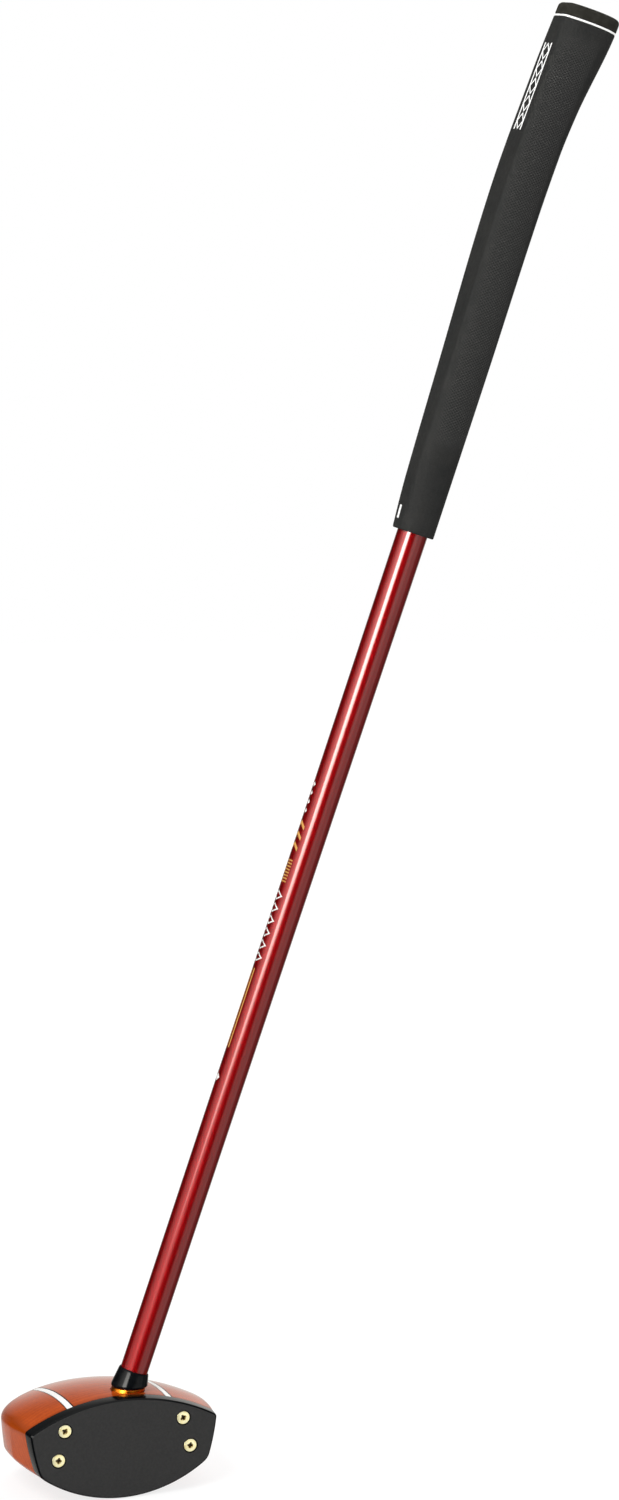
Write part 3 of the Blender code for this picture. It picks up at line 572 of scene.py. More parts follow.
def rimPath(columns):
    # Plan of the rim from the plate's heel end round the back to its toe end, evenly spaced:
    # the flank ellipse, then x = w cos(a)^(2/n), depth = d + r sin(a)^(2/n), then the other flank.
    widest, power = headForm["widestDepth"], 2.0 / headForm["backSquareness"]
    depth = np.linspace(woodFront, widest, headForm["flankSamples"], endpoint=False)
    flank = np.stack([halfWidthAt(depth), depth], axis=1)
    a = np.linspace(0.0, math.pi, headForm["backSamples"])
    back = np.stack([headHalfWidth * np.sign(np.cos(a)) * np.abs(np.cos(a)) ** power,
                     widest + (headForm["depth"] - widest) * np.abs(np.sin(a)) ** power], axis=1)
    whole = np.concatenate([flank, back, flank[::-1] * (-1.0, 1.0)])
    path = evenly(whole, columns)
    run = np.gradient(path, axis=0)
    outward = np.stack([run[:, 1], -run[:, 0]], axis=1)
    outward /= np.linalg.norm(outward, axis=1)[:, None]
    turn = np.clip((path[:, 1:] - woodFront) / headForm["outwardTurn"], 0.0, 1.0)
    sideways = np.stack([np.sign(path[:, 0]), np.zeros(columns)], axis=1)
    return path, sideways * (1.0 - turn) + outward * turn


def onSurface(plan, height):
    # points of a plan, raised to the crown or lowered to the sole
    return raised(plan, height(plan[..., 0], plan[..., 1]))


def sideColumns(top, outward, lean, rim, sole):
    # Columns down the side: the crown's edge, a quadratic curve over the rim, the barrelled side,
    # a quadratic curve under it, the sole's edge. Plans are (x, depth) for each column.
    foot = top - outward * lean
    lift = crownHeight(top[:, 0], top[:, 1])
    drop = lift - soleHeight(foot[:, 0], foot[:, 1])

    def onSide(share):
        barrel = headForm["sideBarrel"]
        slant = ((1.0 - barrel) * share + barrel * share ** 2)[..., None]
        return raised(top * (1.0 - slant) + foot * slant, lift - drop * share)

    first, last = rim / drop, 1.0 - sole / drop
    t = np.linspace(0.0, 1.0, headForm["rimRows"])[:, None, None]
    share = np.linspace(0.0, 1.0, headForm["sideRows"])[1:-1, None]
    start = onSurface(top - outward * rim[:, None], crownHeight)
    end = onSurface(foot - outward * sole[:, None], soleHeight)
    over = quadratic(start, onSide(np.zeros(len(top))), onSide(first), t)
    under = quadratic(onSide(last), onSide(np.ones(len(top))), end, t)
    return np.concatenate([over, onSide(first + (last - first) * share), under])


def plateEndColumn():
    # the side where it meets the plate's heel end, as (x, height)
    top = np.array([[headForm["faceHalfWidth"], woodFront]])
    column = sideColumns(top, np.array([[1.0, 0.0]]), headForm["faceEndLean"],
                         np.array([headForm["rimSetbackAtFace"]]),
                         np.array([headForm["soleSetback"]]))
    return column[:, 0, (0, 2)]


def headGrid():
    # crown rings from a pole in the crown, the sides' levels, and sole rings to a pole below
    path, outward = rimPath(headForm["columns"])
    growth = np.clip((path[:, 1] - woodFront) / headForm["rimGrowth"], 0.0, 1.0)
    start, end = headForm["rimSetbackAtFace"], headForm["rimSetback"]
    steepness = np.clip((path[:, 1:] - woodFront) / headForm["sideLeanReach"], 0.0, 1.0)
    lean = headForm["faceEndLean"] + (headForm["sideLean"] - headForm["faceEndLean"]) * steepness
    sides = sideColumns(path, outward, lean, start + (end - start) * growth,
                        np.full(len(path), headForm["soleSetback"]))
    reach = headForm["faceHalfWidth"] - headForm["frontInset"]
    x = np.linspace(-reach, reach, headForm["frontColumns"])
    flat = np.stack([x, np.full(len(x), woodFront)], axis=1)
    lean = headForm["faceEndLean"] * x[:, None] / headForm["faceHalfWidth"]
    front = sideColumns(flat, np.array([[1.0, 0.0]]), lean, np.zeros(len(x)), np.zeros(len(x)))
    t = np.linspace(0.0, 1.0, headForm["cornerColumns"] + 2)[1:-1, None]
    toeCorner = sides[:, -1:] * (1 - t) + front[:, :1] * t
    heelCorner = front[:, -1:] * (1 - t) + sides[:, :1] * t
    levels = np.concatenate([sides, toeCorner, front, heelCorner], axis=1)
    middle = np.array([0.0, woodMiddle])
    rings = []
    for edge, height, shares in (
            (levels[0], crownHeight, np.linspace(0.0, 1.0, headForm["crownRings"])[:-1]),
            (levels[-1], soleHeight, np.linspace(1.0, 0.0, headForm["soleRings"])[1:])):
        plan = middle + (edge[:, :2] - middle) * shares[:, None, None]
        rings.append(onSurface(plan, height))
    grid = np.concatenate([rings[0], levels, rings[1]])
    grid[..., 1] += club["faceY"]
    return grid


def lacqueredMaple():
    # Maple block stained orange-brown under thick clear lacquer, buffed: a mirror-smooth coat
    # over soft brown figure whose lines run from toe to heel. Shade is painted darker over the
    # rim.
    material, tree = newMaterial("lacqueredMaple", {
        "Roughness": 0.45, "Specular IOR Level": 0.0, "Coat Weight": 1.0,
        "Coat Roughness": 0.025, "Coat IOR": 1.5})
    tilt = (math.radians(24.0), 0.0, 0.0)  # of the layers of wood
    along = objectPlace(tree, (0.05, 1.0, 1.0), tilt)
    yearRings = addNode(tree, "TexWave", {
        "Vector": along, "Scale": 105.0, "Distortion": 5.0, "Detail": 2.0,
        "Detail Scale": 1.2}, bands_direction="Y").outputs["Fac"]  # one ring every 3 mm
    fibres = wander(tree, 0.7 * mm, detail=3.0, place=along)
    clouds = wander(tree, 14.0 * mm, place=objectPlace(tree, (0.35, 1.0, 1.0)))
    figure = 0.0
    for pattern, weight in ((yearRings, 0.35), (fibres, 0.4), (clouds, 0.35)):
        figure = addNode(tree, "Math", {0: pattern, 1: weight, 2: figure},
                         operation="MULTIPLY_ADD").outputs[0]
    # pores show only where the noise is highest
    pores = wander(tree, 0.35 * mm, -1.2, 0.5, 1.0, objectPlace(tree, (0.06, 1.0, 1.0), tilt))
    down = surfaceUv(tree)[1]
    # painted shade over the rim, where the crown turns into the side
    rim = within(tree, down, headForm["rimShade"] * 0.3, headForm["rimShade"], 2.2 * mm)
    place = addNode(tree, "SeparateXYZ", {0: objectPlace(tree)})
    # painted shade of the groove's gap either side of each white line, on the crown only
    besideLine = within(tree, awayFrom(tree, place.outputs[0]), lineForm["offset"],
                        lineForm["width"] / 2.0 + lineForm["glue"], 0.1 * mm)
    ends = (club["faceY"], club["faceY"] + lineBack() + lineForm["glue"])
    onCrown = addNode(tree, "MapRange", {"Value": down, "From Min": 0.0, "From Max": 0.5 * mm,
                                         "To Min": 1.0, "To Max": 0.0}).outputs[0]
    glue = product(tree, besideLine, between(tree, place.outputs[1], ends, 0.1 * mm), onCrown)
    colour = layered(tree, "9A3B0C", (figure, "BC4E14"), (largest(tree, pores, 0.0), "7E2E10"),
                     (rim, "943A0A"), (glue, "451604"))
    swell = wander(tree, 9.0 * mm, detail=1.0)
    uneven = addNode(tree, "Bump", {"Height": swell, "Distance": 0.006 * mm}).outputs[0]
    return finished(material, {"Base Color": colour, "Coat Normal": uneven})


# Screws

screwForm = {
    "headRadius": 3.6 * mm,
    "headHeight": 2.3 * mm,
    "dome": 0.35 * mm,
    "sink": 0.5 * mm,  # rim below the plate's surface
    "shankRadius": 1.8 * mm,
    "tipLength": 2.5 * mm,
    "threadDepth": 0.45 * mm,
    "threadPitch": 1.6 * mm,
    "threadStart": 1.2 * mm,  # below the head
    "rowsPerTurn": 10,
    "columns": 72,
    "domeRows": 14,
    "domeShare": 0.96,  # of the head's radius; a rounded rim follows
    "domeEdge": 0.08,  # of the dome's height, left there
    "edgeRound": 0.12 * mm,
    "countersinkMargin": 0.55 * mm,
    "holeTurn": 0.021,  # keeps a hole's edges off the edges of the grids that it cuts
    "recessWidth": 1.0 * mm,
    "recessSpan": 3.6 * mm,
    "recessDepth": 1.3 * mm,
    "recessDraft": 0.42,  # size of its floor against its mouth
    "dishRadius": 1.7 * mm,  # golden-brown painted shade on the head inside this
    "dishSoftness": 0.45 * mm,
    "shadeStartDepth": 0.05 * mm,  # no painted shade in the cross above this
    "ochreDepth": 0.2 * mm,  # golden-brown painted shade from here
    "darkDepth": 0.75 * mm,  # painted shade, nearly black, from here
    "faceLength": 22.0 * mm,
    "upperInset": 20.1 * mm,
    "lowerInset": 16.3 * mm,
    "upperLift": 0.4 * mm,
    "lowerLift": 8.6 * mm,
    "soleLength": 12.0 * mm,
    "soleInset": 5.2 * mm,
}


def screwGrid(length):
    # Z points out of the work. The head is a shallow dome, a rounded rim and a cone; the shank's
    # radius falls by the thread's depth between turns: r = R - d |2 frac(z / pitch - a / tau) - 1|
    form = screwForm
    head, shank, sink = form["headRadius"], form["shankRadius"], form["sink"]
    r = np.linspace(0.0, head * form["domeShare"], form["domeRows"])
    dome = np.stack([r, form["dome"] * (1 - (r / head) ** 2) - sink], axis=1)
    neck = -sink - form["headHeight"]
    cone = rounded([(r[-1], form["dome"] * form["domeEdge"] - sink), (head, -sink - 0.05 * mm),
                    (shank, neck), (shank, neck - 1.0 * mm)], form["edgeRound"])
    headRows = turned(np.concatenate([dome, cone]), form["columns"])
    first, pitch = neck - form["threadStart"], form["threadPitch"]
    z = np.arange(first, -length, -pitch / form["rowsPerTurn"])
    a = np.linspace(0.0, math.tau, form["columns"], endpoint=False)
    turn = np.mod(z[:, None] / pitch - a / math.tau, 1.0)
    tip = np.clip((z + length) / form["tipLength"], 0.0, 1.0)[:, None] ** 0.8
    start = np.clip((first - z) / (2.0 * pitch), 0.0, 1.0)[:, None]
    radius = (shank - form["threadDepth"] * start * np.abs(2.0 * turn - 1.0)) * tip
    shankRows = raised(np.stack([radius * np.cos(a), radius * np.sin(a)], axis=-1), z[:, None])
    point = np.broadcast_to([0.0, 0.0, -length], (1, form["columns"], 3))
    return np.concatenate([headRows, shankRows, point])


def recessGrid():
    # a cross with a diamond at its middle, narrowing to its floor
    arm, reach = screwForm["recessWidth"] / 2.0, screwForm["recessSpan"] / 2.0
    web = arm * 1.5  # corners of the diamond, between the arms
    quarter = np.array([(reach, -arm), (reach, arm), (web, web)])
    outline = np.concatenate([quarter @ np.array([(math.cos(a), math.sin(a)),
                                                  (-math.sin(a), math.cos(a))])
                              for a in np.arange(4) * math.pi / 2.0])
    floor = -screwForm["sink"] - screwForm["recessDepth"]
    return np.array([raised(outline * scale, height) for scale, height in (
        (0.0, floor), (screwForm["recessDraft"], floor), (1.0, -screwForm["sink"]), (1.0, reach),
        (0.0, reach))])


def holeGrid(length):
    # countersunk clearance hole and the pilot hole behind it
    form = screwForm
    head, shank, sink = form["headRadius"], form["shankRadius"], form["sink"]
    mouth, hole = head + form["countersinkMargin"], shank + club["gap"]
    slope = (head - shank) / form["headHeight"]
    end = -length - club["gap"]
    return turned([(0.0, head), (mouth, head), (mouth, -sink),
                   (hole, -sink - (mouth - hole) / slope), (hole, end), (0.0, end)],
                  form["columns"])


def polishedBrass(name, shades, roughness, wear):
    # Brass sheet or bar, polished: a pale gold mirror, a little cloudy where it was handled,
    # with fine lines along the way that it wears.
    material, tree = newMaterial(name, {"Metallic": 1.0})
    colour = layered(tree, shades[0], (wander(tree, 2.5 * mm), shades[1]))
    lines = wander(tree, 0.25 * mm, -0.06, 0.06, 3.0, objectPlace(tree, (1.0, wear, 1.0)))
    polish = addNode(tree, "Math", {0: lines, 1: roughness}).outputs[0]
    scratched = addNode(tree, "Bump", {"Height": lines, "Distance": 0.01 * mm}).outputs[0]
    return finished(material, {"Base Color": colour, "Roughness": polish, "Normal": scratched})


def turnedBrass():
    # Screws turned from pale brass and tumbled: a soft near-white gold, with painted shade in
    # the middle, golden brown at first and darker down the cross. The UV map gives the depth.
    material, tree = newMaterial("turnedPaleBrass", {})
    form, depth = screwForm, surfaceUv(tree)[1]
    ochreShade, crossShade = [addNode(tree, "MapRange", {"Value": depth, "From Min": form[start],
                                              "From Max": form[full]}).outputs[0]
                   for start, full in (("shadeStartDepth", "ochreDepth"),
                                       ("ochreDepth", "darkDepth"))]
    colour = layered(tree, "FFF1B0", (wander(tree, 1.2 * mm), "FFFCD6"), (ochreShade, "97772A"),
                     (crossShade, "2E2106"))
    metal = addNode(tree, "MapRange", {"Value": ochreShade, "To Min": 0.6, "To Max": 0.25}).outputs[0]
    dull = addNode(tree, "MapRange", {"Value": ochreShade, "To Min": 0.3, "To Max": 0.55}).outputs[0]
    return finished(material, {"Base Color": colour, "Metallic": metal, "Roughness": dull})


def screwPlaces():
    # name, length, origin and the directions of the screw's own X, Y and Z, for all eight
    form = screwForm
    upper = headForm["faceHeight"] - headForm["crownRise"] + form["upperLift"]
    lower = headForm["groundClearance"] + headForm["soleRise"] + form["lowerLift"]
    soleX = soleForm["width"] / 2.0 - form["soleInset"]
    soleY = soleForm["length"] / 2.0 - form["soleInset"]
    places = []
    for end, side in (("toe", -1.0), ("heel", 1.0)):
        for level, inset, height in (("upper", form["upperInset"], upper),
                                     ("lower", form["lowerInset"], lower)):
            origin = (side * (headForm["faceHalfWidth"] - inset), club["faceY"], height)
            places.append((f"face_screw_{level}_{end}", form["faceLength"], origin,
                           ((1, 0, 0), (0, 0, 1), (0, -1, 0))))
        for row, sign in (("front", -1.0), ("back", 1.0)):
            places.append((f"sole_screw_{row}_{end}", form["soleLength"],
                           (side * soleX, sign * soleY, 0.0), ((1, 0, 0), (0, -1, 0), (0, 0, -1))))
    return places


def turnedTo(grid, origin, axes, spin=0.0):
    # local x, y, z carried along three directions from an origin, after a spin about z
    c, s = math.cos(spin), math.sin(spin)
    spun = grid @ np.array([(c, s, 0.0), (-s, c, 0.0), (0.0, 0.0, 1.0)])
    return np.asarray(origin, float) + spun @ np.asarray(axes, float)


def screwHoles(piece=""):
    # cutters for the holes of the screws that hold the piece, or of all eight
    turn = screwForm["holeTurn"]
    return [surfacePiece("hole", turnedTo(holeGrid(length), origin, axes, turn))
            for name, length, origin, axes in screwPlaces() if name.startswith(piece)]


# Sole plate

soleForm = {
    "width": 26.0 * mm,
    "length": 46.0 * mm,
    "thickness": 3.0 * mm,
    "corner": 6.0 * mm,
    "cornerPoints": 16,
    "chamfer": 0.5 * mm,
    "edgeRound": 0.1 * mm,
    "rims": (0.4 * mm, 0.6 * mm),  # flat rims of the underside and the top, outside the pole fans
    "weightRadius": 10.0 * mm,
    "weightHeight": 16.0 * mm,
    "pocketColumns": 96,
}


def roundedRectangle(margin):
    # straight sides joined by quarter circles; the margin grows it
    corner = soleForm["corner"] + margin
    centre = np.array([soleForm["width"] / 2.0 + margin - corner,
                       soleForm["length"] / 2.0 + margin - corner])
    quarters = []
    for k, signs in enumerate(((1, 1), (-1, 1), (-1, -1), (1, -1))):
        a = math.pi / 2.0 * (k + np.linspace(0.0, 1.0, soleForm["cornerPoints"]))
        quarters.append(centre * signs + corner * np.stack([np.cos(a), np.sin(a)], axis=1))
    return np.concatenate(quarters)


def soleGrid(profile):
    # the rounded rectangle, shrunk by each (inset, height) of a profile, closed at two poles
    rows = [raised(roundedRectangle(-inset), height) for inset, height in profile]
    return np.array([rows[0] * (0.0, 0.0, 1.0), *rows, rows[-1] * (0.0, 0.0, 1.0)])


# Neck and shaft share a frame: X to the palm side, Y back, Z up the shaft

shaftUp = np.array([math.cos(club["lieAngle"]), 0.0, math.sin(club["lieAngle"])])
shaftAxes = np.array([(shaftUp[2], 0.0, -shaftUp[0]), (0.0, 1.0, 0.0), shaftUp])

neckForm = {
    "toPlate": 1.2 * mm,
    "seatSink": 0.9 * mm,
    "ringHeight": 2.2 * mm,
    "ringWall": 1.4 * mm,
    "ferruleHeight": 9.2 * mm,
    "footWall": 1.7 * mm,
    "bellyWall": 2.2 * mm,
    "bellyHeight": 1.0 * mm,
    "topWall": 0.85 * mm,
    "lip": 0.5 * mm,
    "ringRound": 0.35 * mm,
    "ferruleRound": 0.7 * mm,
    "columns": 144,
    "bore": (22.0 * mm, 80.0 * mm),  # up the shaft's axis, to clear of the crown
    "boreColumns": 128,
}
ringRadius = club["tipRadius"] + neckForm["ringWall"]
shaftDepth = headForm["plateThickness"] + neckForm["toPlate"] + ringRadius
crownPlace = crownHeight(club["crownX"], shaftDepth) / shaftUp[2]
shaftFoot = np.array([club["crownX"] - crownPlace * shaftUp[0], club["faceY"] + shaftDepth, 0.0])


def crownSlope():
    # rise of the crown along the shaft's own X and Y, where the shaft leaves it
    step = 0.5 * mm
    here = crownHeight(club["crownX"], shaftDepth)
    riseX = (crownHeight(club["crownX"] + step, shaftDepth) - here) / step
    riseY = (crownHeight(club["crownX"], shaftDepth + step) - here) / step
    tilt = math.pi / 2.0 - club["lieAngle"]
    return math.tan(tilt + math.atan(riseX)), riseY / math.cos(tilt)


def seated(grid, low, high, topFollows):
    # shear a turned piece so that its foot lies along the crown, and its top too if it follows
    slopeX, slopeY = crownSlope()
    share = np.ones(grid.shape[:2]) if topFollows else (high - grid[..., 2]) / (high - low)
    lift = (slopeX * grid[..., 0] + slopeY * grid[..., 1]) * share
    return grid + lift[..., None] * (0.0, 0.0, 1.0)


def onShaft(grid):
    # from the shaft's frame to the club's
    return shaftFoot + grid @ shaftAxes


def shaftRadius(place):
    # tapers evenly from the tip to the grip's mouth
    share = min(1.0, place / gripMouth)
    return club["tipRadius"] + (club["buttRadius"] - club["tipRadius"]) * share


def addHead(wood):
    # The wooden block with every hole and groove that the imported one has. Its UV map counts
    # round the head, and down the surface from the rim.
    grid = headGrid()
    loop = np.concatenate([grid, grid[:, :1]], axis=1)
    down = np.cumsum(np.linalg.norm(np.diff(loop, axis=0, prepend=loop[:1]), axis=-1), axis=0)
    down -= down[headForm["crownRings"]]
    head = surfacePiece("lacquered_head", grid, wood, acrossUv=arcUv(grid), alongUv=down)
    gap = club["gap"]
    cutters = screwHoles()
    for side in (-1.0, 1.0):
        cutters.append(surfacePiece("groove", lineGrid(side, gap, headForm["plateThickness"] / 2)))
    seat, mouth = crownPlace - neckForm["seatSink"], ringRadius + gap
    columns = neckForm["boreColumns"]
    spot = seated(cylinder(mouth, seat, seat + mouth, columns), seat, seat + mouth, True)
    bore = cylinder(shaftRadius(crownPlace) + gap, *neckForm["bore"], columns)
    depth = soleForm["thickness"] + gap
    pocket = cylinder(soleForm["weightRadius"] + gap, 0.0, depth + soleForm["weightHeight"] + gap,
                      soleForm["pocketColumns"])
    for name, grid in (("seat", onShaft(spot)), ("bore", onShaft(bore)),
                       ("recess", soleGrid([(-gap, -depth), (-gap, depth)])), ("pocket", pocket)):
        cutters.append(surfacePiece(name, grid))
    cutOut(head, cutters)
    dress(head, "head_body")


# Alignment lines

def lineBack():
    # depth where a line ends, just short of the rounded rim at its outer edge
    form, power = headForm, headForm["backSquareness"]
    outer = (lineForm["offset"] + lineForm["width"] / 2.0) / headHalfWidth
    rear = (1.0 - outer ** power) ** (1.0 / power)
    rimDepth = form["widestDepth"] + (form["depth"] - form["widestDepth"]) * rear
    return rimDepth - form["rimSetback"] - lineForm["endMargin"]


def lineGrid(side, grow=0.0, front=woodFront):
    # A strip that follows the crown from front to back. Its section is a rounded rectangle that
    # hangs from the crown's height; grown, it is the groove.
    depth = np.linspace(front, lineBack() + grow, lineForm["rows"])
    half = lineForm["width"] / 2.0 + grow
    low, high = -lineForm["thickness"] - grow, half if grow else 0.0
    section = rounded([(-half, low), (half, low), (half, high), (-half, high)],
                      lineForm["edgeRound"], closed=True)
    x = side * lineForm["offset"] + section[:, 0]
    rows = np.stack([np.broadcast_to(x, (len(depth), len(x))),
                     np.broadcast_to(club["faceY"] + depth[:, None], (len(depth), len(x))),
                     crownHeight(x[None, :], depth[:, None]) + section[:, 1]], axis=-1)
    poles = rows[[0, -1]].mean(axis=1, keepdims=True) + np.zeros_like(rows[:1])
    return np.concatenate([poles[:1], rows, poles[1:]])


def whiteInlay():
    # White ABS strip let into the wood and scraped flush: even, satin, faintly warm.
    material, tree = newMaterial("whiteAbsInlay", {
        "Roughness": 0.3, "Coat Weight": 0.6, "Coat Roughness": 0.05})
    colour = layered(tree, "F7F7F5", (wander(tree, 1.8 * mm), "FEFEFD"))
    scrape = wander(tree, 0.4 * mm, place=objectPlace(tree, (1.0, 0.1, 1.0)))
    scraped = addNode(tree, "Bump", {"Height": scrape, "Distance": 0.008 * mm}).outputs[0]
    return finished(material, {"Base Color": colour, "Normal": scraped})


# Striking plate

plateForm = {
    "chamfer": 1.0 * mm,
    "endDraft": 0.9 * mm,
    "edgeRound": 0.22 * mm,
    "backMargin": 1.2 * mm,  # flat rim that the rounding leaves at the back
    "faceMargin": 0.6 * mm,
    "arcSamples": 398,
    "columns": 520,
    "rings": 15,
}


def plateGrid():
    # The outline is the head's own front view. Each row is the outline drawn in by an inset, at a
    # depth; the rest of both faces shrinks to a pole in the middle.
    end = plateEndColumn()
    form, thickness = plateForm, headForm["plateThickness"]
    share = np.linspace(-1.0, 1.0, form["arcSamples"] + 2)[1:-1]
    topX, lowX = end[0, 0] * share, -end[-1, 0] * share
    top = np.stack([topX, crownHeight(topX, woodFront)], axis=1)
    low = np.stack([lowX, soleHeight(lowX, woodFront)], axis=1)
    whole = np.concatenate([top, end, low, end[::-1] * (-1.0, 1.0), top[:1]])
    outline = evenly(whole, form["columns"], endpoint=False)
    run = np.roll(outline, -1, axis=0) - np.roll(outline, 1, axis=0)
    inward = np.stack([run[:, 1], -run[:, 0]], axis=1) / np.linalg.norm(run, axis=1)[:, None]
    chamfer = form["chamfer"]
    section = rounded([(form["backMargin"], thickness), (0.0, thickness), (0.0, chamfer),
                       (chamfer, 0.0), (chamfer + form["faceMargin"], 0.0)], form["edgeRound"], 6)
    edge = [raised(outline + inward * inset, depth) for inset, depth in section]
    middle = np.array([0.0, headForm["faceHeight"] / 2.0])
    back, front = [[raised(middle + (rim[:, :2] - middle) * s, rim[:, 2])
                    for s in np.linspace(0.0, 1.0, form["rings"], endpoint=False)]
                   for rim in (edge[0], edge[-1])]
    grid = np.array(back + edge + front[::-1])[..., (0, 2, 1)]
    ahead = 1.0 - grid[..., 1] / thickness
    grid[..., 0] *= 1.0 - ahead * form["endDraft"] / headForm["faceHalfWidth"]
    grid[..., 1] += club["faceY"]
    return grid


def plateResin():
    # Dense black phenolic laminate, its face sanded matt to grip the ball and its edge polished:
    # an even charcoal from the front, a black mirror round the rim.
    material, tree = newMaterial("sandedPhenolicLaminate", {
        "IOR": 1.5, "Specular IOR Level": 0.15})
    depth = addNode(tree, "SeparateXYZ", {0: objectPlace(tree)}).outputs[1]
    polish = addNode(tree, "MapRange", {
        "Value": depth, "From Min": club["faceY"] + 0.05 * mm,
        "From Max": club["faceY"] + 0.35 * mm}).outputs[0]
    mottle = wander(tree, 1.1 * mm, detail=3.0)
    colour = layered(tree, "2B2B2B", (mottle, "303030"), (polish, "07090B"))
    rough = addNode(tree, "MapRange", {"Value": polish, "To Min": 0.55, "To Max": 0.16}).outputs[0]
    grit = wander(tree, 0.3 * mm, detail=4.0)  # coarser than real, to show
    matt = addNode(tree, "Math", {0: 1.0, 1: polish}, operation="SUBTRACT").outputs[0]
    sanded = addNode(tree, "Bump", {"Height": product(tree, grit, matt),
                                    "Distance": 0.02 * mm}).outputs[0]
    return finished(material, {"Base Color": colour, "Roughness": rough, "Normal": sanded})


def addPlate(resin):
    # the black plate with its four countersunk holes
    plate = surfacePiece("striking_plate", plateGrid(), resin)
    cutOut(plate, screwHoles("face"))
    dress(plate, "face_plate")


def addScrews(brass):
    # each stands at its own angle, as driven by hand
    turns = np.random.default_rng(7).uniform(0.0, math.pi / 2.0, 8)
    deep, dish = screwForm["recessDepth"], screwForm["dishRadius"]
    for (name, length, origin, axes), spin in zip(screwPlaces(), turns):
        grid = screwGrid(length)
        # golden-brown painted shade over the middle of each head; the cross's depth in the UV map
        # paints it darker down the cross
        inside = (dish - np.hypot(grid[:, :1, 0], grid[:, :1, 1])) / screwForm["dishSoftness"]
        inside = np.where(grid[:, :1, 2] > -screwForm["headHeight"] / 2.0, inside, 0.0)
        ochreShade = np.clip(inside, 0.0, 1.0) * screwForm["ochreDepth"]
        screw = surfacePiece(name + "_brass", turnedTo(grid, origin, axes), brass,
                             acrossUv=0.0, alongUv=ochreShade)
        cross = surfacePiece("cross", turnedTo(recessGrid(), origin, axes, spin), acrossUv=0.0,
                             alongUv=np.array([[deep], [deep], [0.0], [0.0], [0.0]]))
        cutOut(screw, [cross])
        dress(screw, name)


def addSolePlate(brass):
    # flat brass with a chamfered underside and the four screw holes
    chamfer, thickness = soleForm["chamfer"], soleForm["thickness"]
    under, over = soleForm["rims"]
    section = rounded([(chamfer + under, 0.0), (chamfer, 0.0), (0.0, chamfer),
                       (0.0, thickness), (over, thickness)], soleForm["edgeRound"])
    plate = surfacePiece("sole_wear_plate", soleGrid(section), brass)
    cutOut(plate, screwHoles("sole"))
    dress(plate, "sole_plate")


addHead(lacqueredMaple())
print("wooden head built")
addPlate(plateResin())
addScrews(turnedBrass())
addSolePlate(polishedBrass("brushedBrassSole", ("D8B766", "F3DFA0"), 0.3, 0.05))
inlay = whiteInlay()
for end, side in (("toe", -1.0), ("heel", 1.0)):
    strip = surfacePiece(f"white_line_{end}", lineGrid(side), inlay)
    dress(strip, f"alignment_line_{end}")
print("plate, screws, sole and lines built")


# Neck: amber ring and ferrule

def amberAnodised():
    # Aluminium ring, turned, etched and dyed amber in the anodising bath: a deep orange gold
    # whose reflections are soft.
    material, tree = newMaterial("amberAnodisedAluminium", {"Metallic": 1.0})
    colour = layered(tree, "E0761C", (wander(tree, 1.5 * mm), "F08F2C"))
    polish = wander(tree, 0.6 * mm, 0.26, 0.34)
    return finished(material, {"Base Color": colour, "Roughness": polish})


def glossBlackPlastic():
    # Ferrule of black acetate, turned and wiped with solvent: a wet-looking black.
    material, tree = newMaterial("glossBlackAcetate", {"IOR": 1.5, "Specular IOR Level": 0.1})
    colour = layered(tree, "08090B", (wander(tree, 3.0 * mm), "111315"))
    polish = wander(tree, 2.0 * mm, 0.06, 0.12)
    return finished(material, {"Base Color": colour, "Roughness": polish})


def addNeck():
    # the ring and the ferrule: rounded sections turned round the shaft, with feet that lie along
    # the crown
    form, gap, tip = neckForm, club["gap"], club["tipRadius"]
    low = crownPlace - form["seatSink"] + gap
    high = low + form["ringHeight"]
    bore = shaftRadius(high) + gap
    section = rounded([(bore, low), (ringRadius, low), (ringRadius, high), (bore, high)],
                      form["ringRound"], 7, closed=True)
    grid = seated(turned(section, form["columns"]), low, high, True)
    ring = surfacePiece("amber_ring", onShaft(grid), amberAnodised(), loopRows=True)
    dress(ring, "ferrule_ring")

    low = high + gap
    high = low + form["ferruleHeight"]
    top = tip + form["topWall"]
    bore = shaftRadius(high) + gap
    section = rounded([(bore, low), (tip + form["footWall"], low),
                       (tip + form["bellyWall"], low + form["bellyHeight"]),
                       (top, high - form["lip"]), (top - form["lip"] / 2.0, high), (bore, high)],
                      form["ferruleRound"], 8, closed=True)
    grid = seated(turned(section, form["columns"]), low, high, False)
    ferrule = surfacePiece("black_ferrule", onShaft(grid), glossBlackPlastic(), loopRows=True)
    dress(ferrule, "ferrule")


# Shaft

shaftForm = {
    "tip": 22.3 * mm,
    "edgeRound": 0.25 * mm,
    "columns": 144,
    "markLone": 236.0 * mm,
    "markBars": (253.0 * mm, 298.0 * mm),
    "markDiamonds": (301.0 * mm, 343.0 * mm),
    "markRungs": (346.8 * mm, 360.4 * mm),
    "markChevrons": (364.2 * mm, 382.2 * mm),
    "markDots": (386.0 * mm, 405.0 * mm),
}


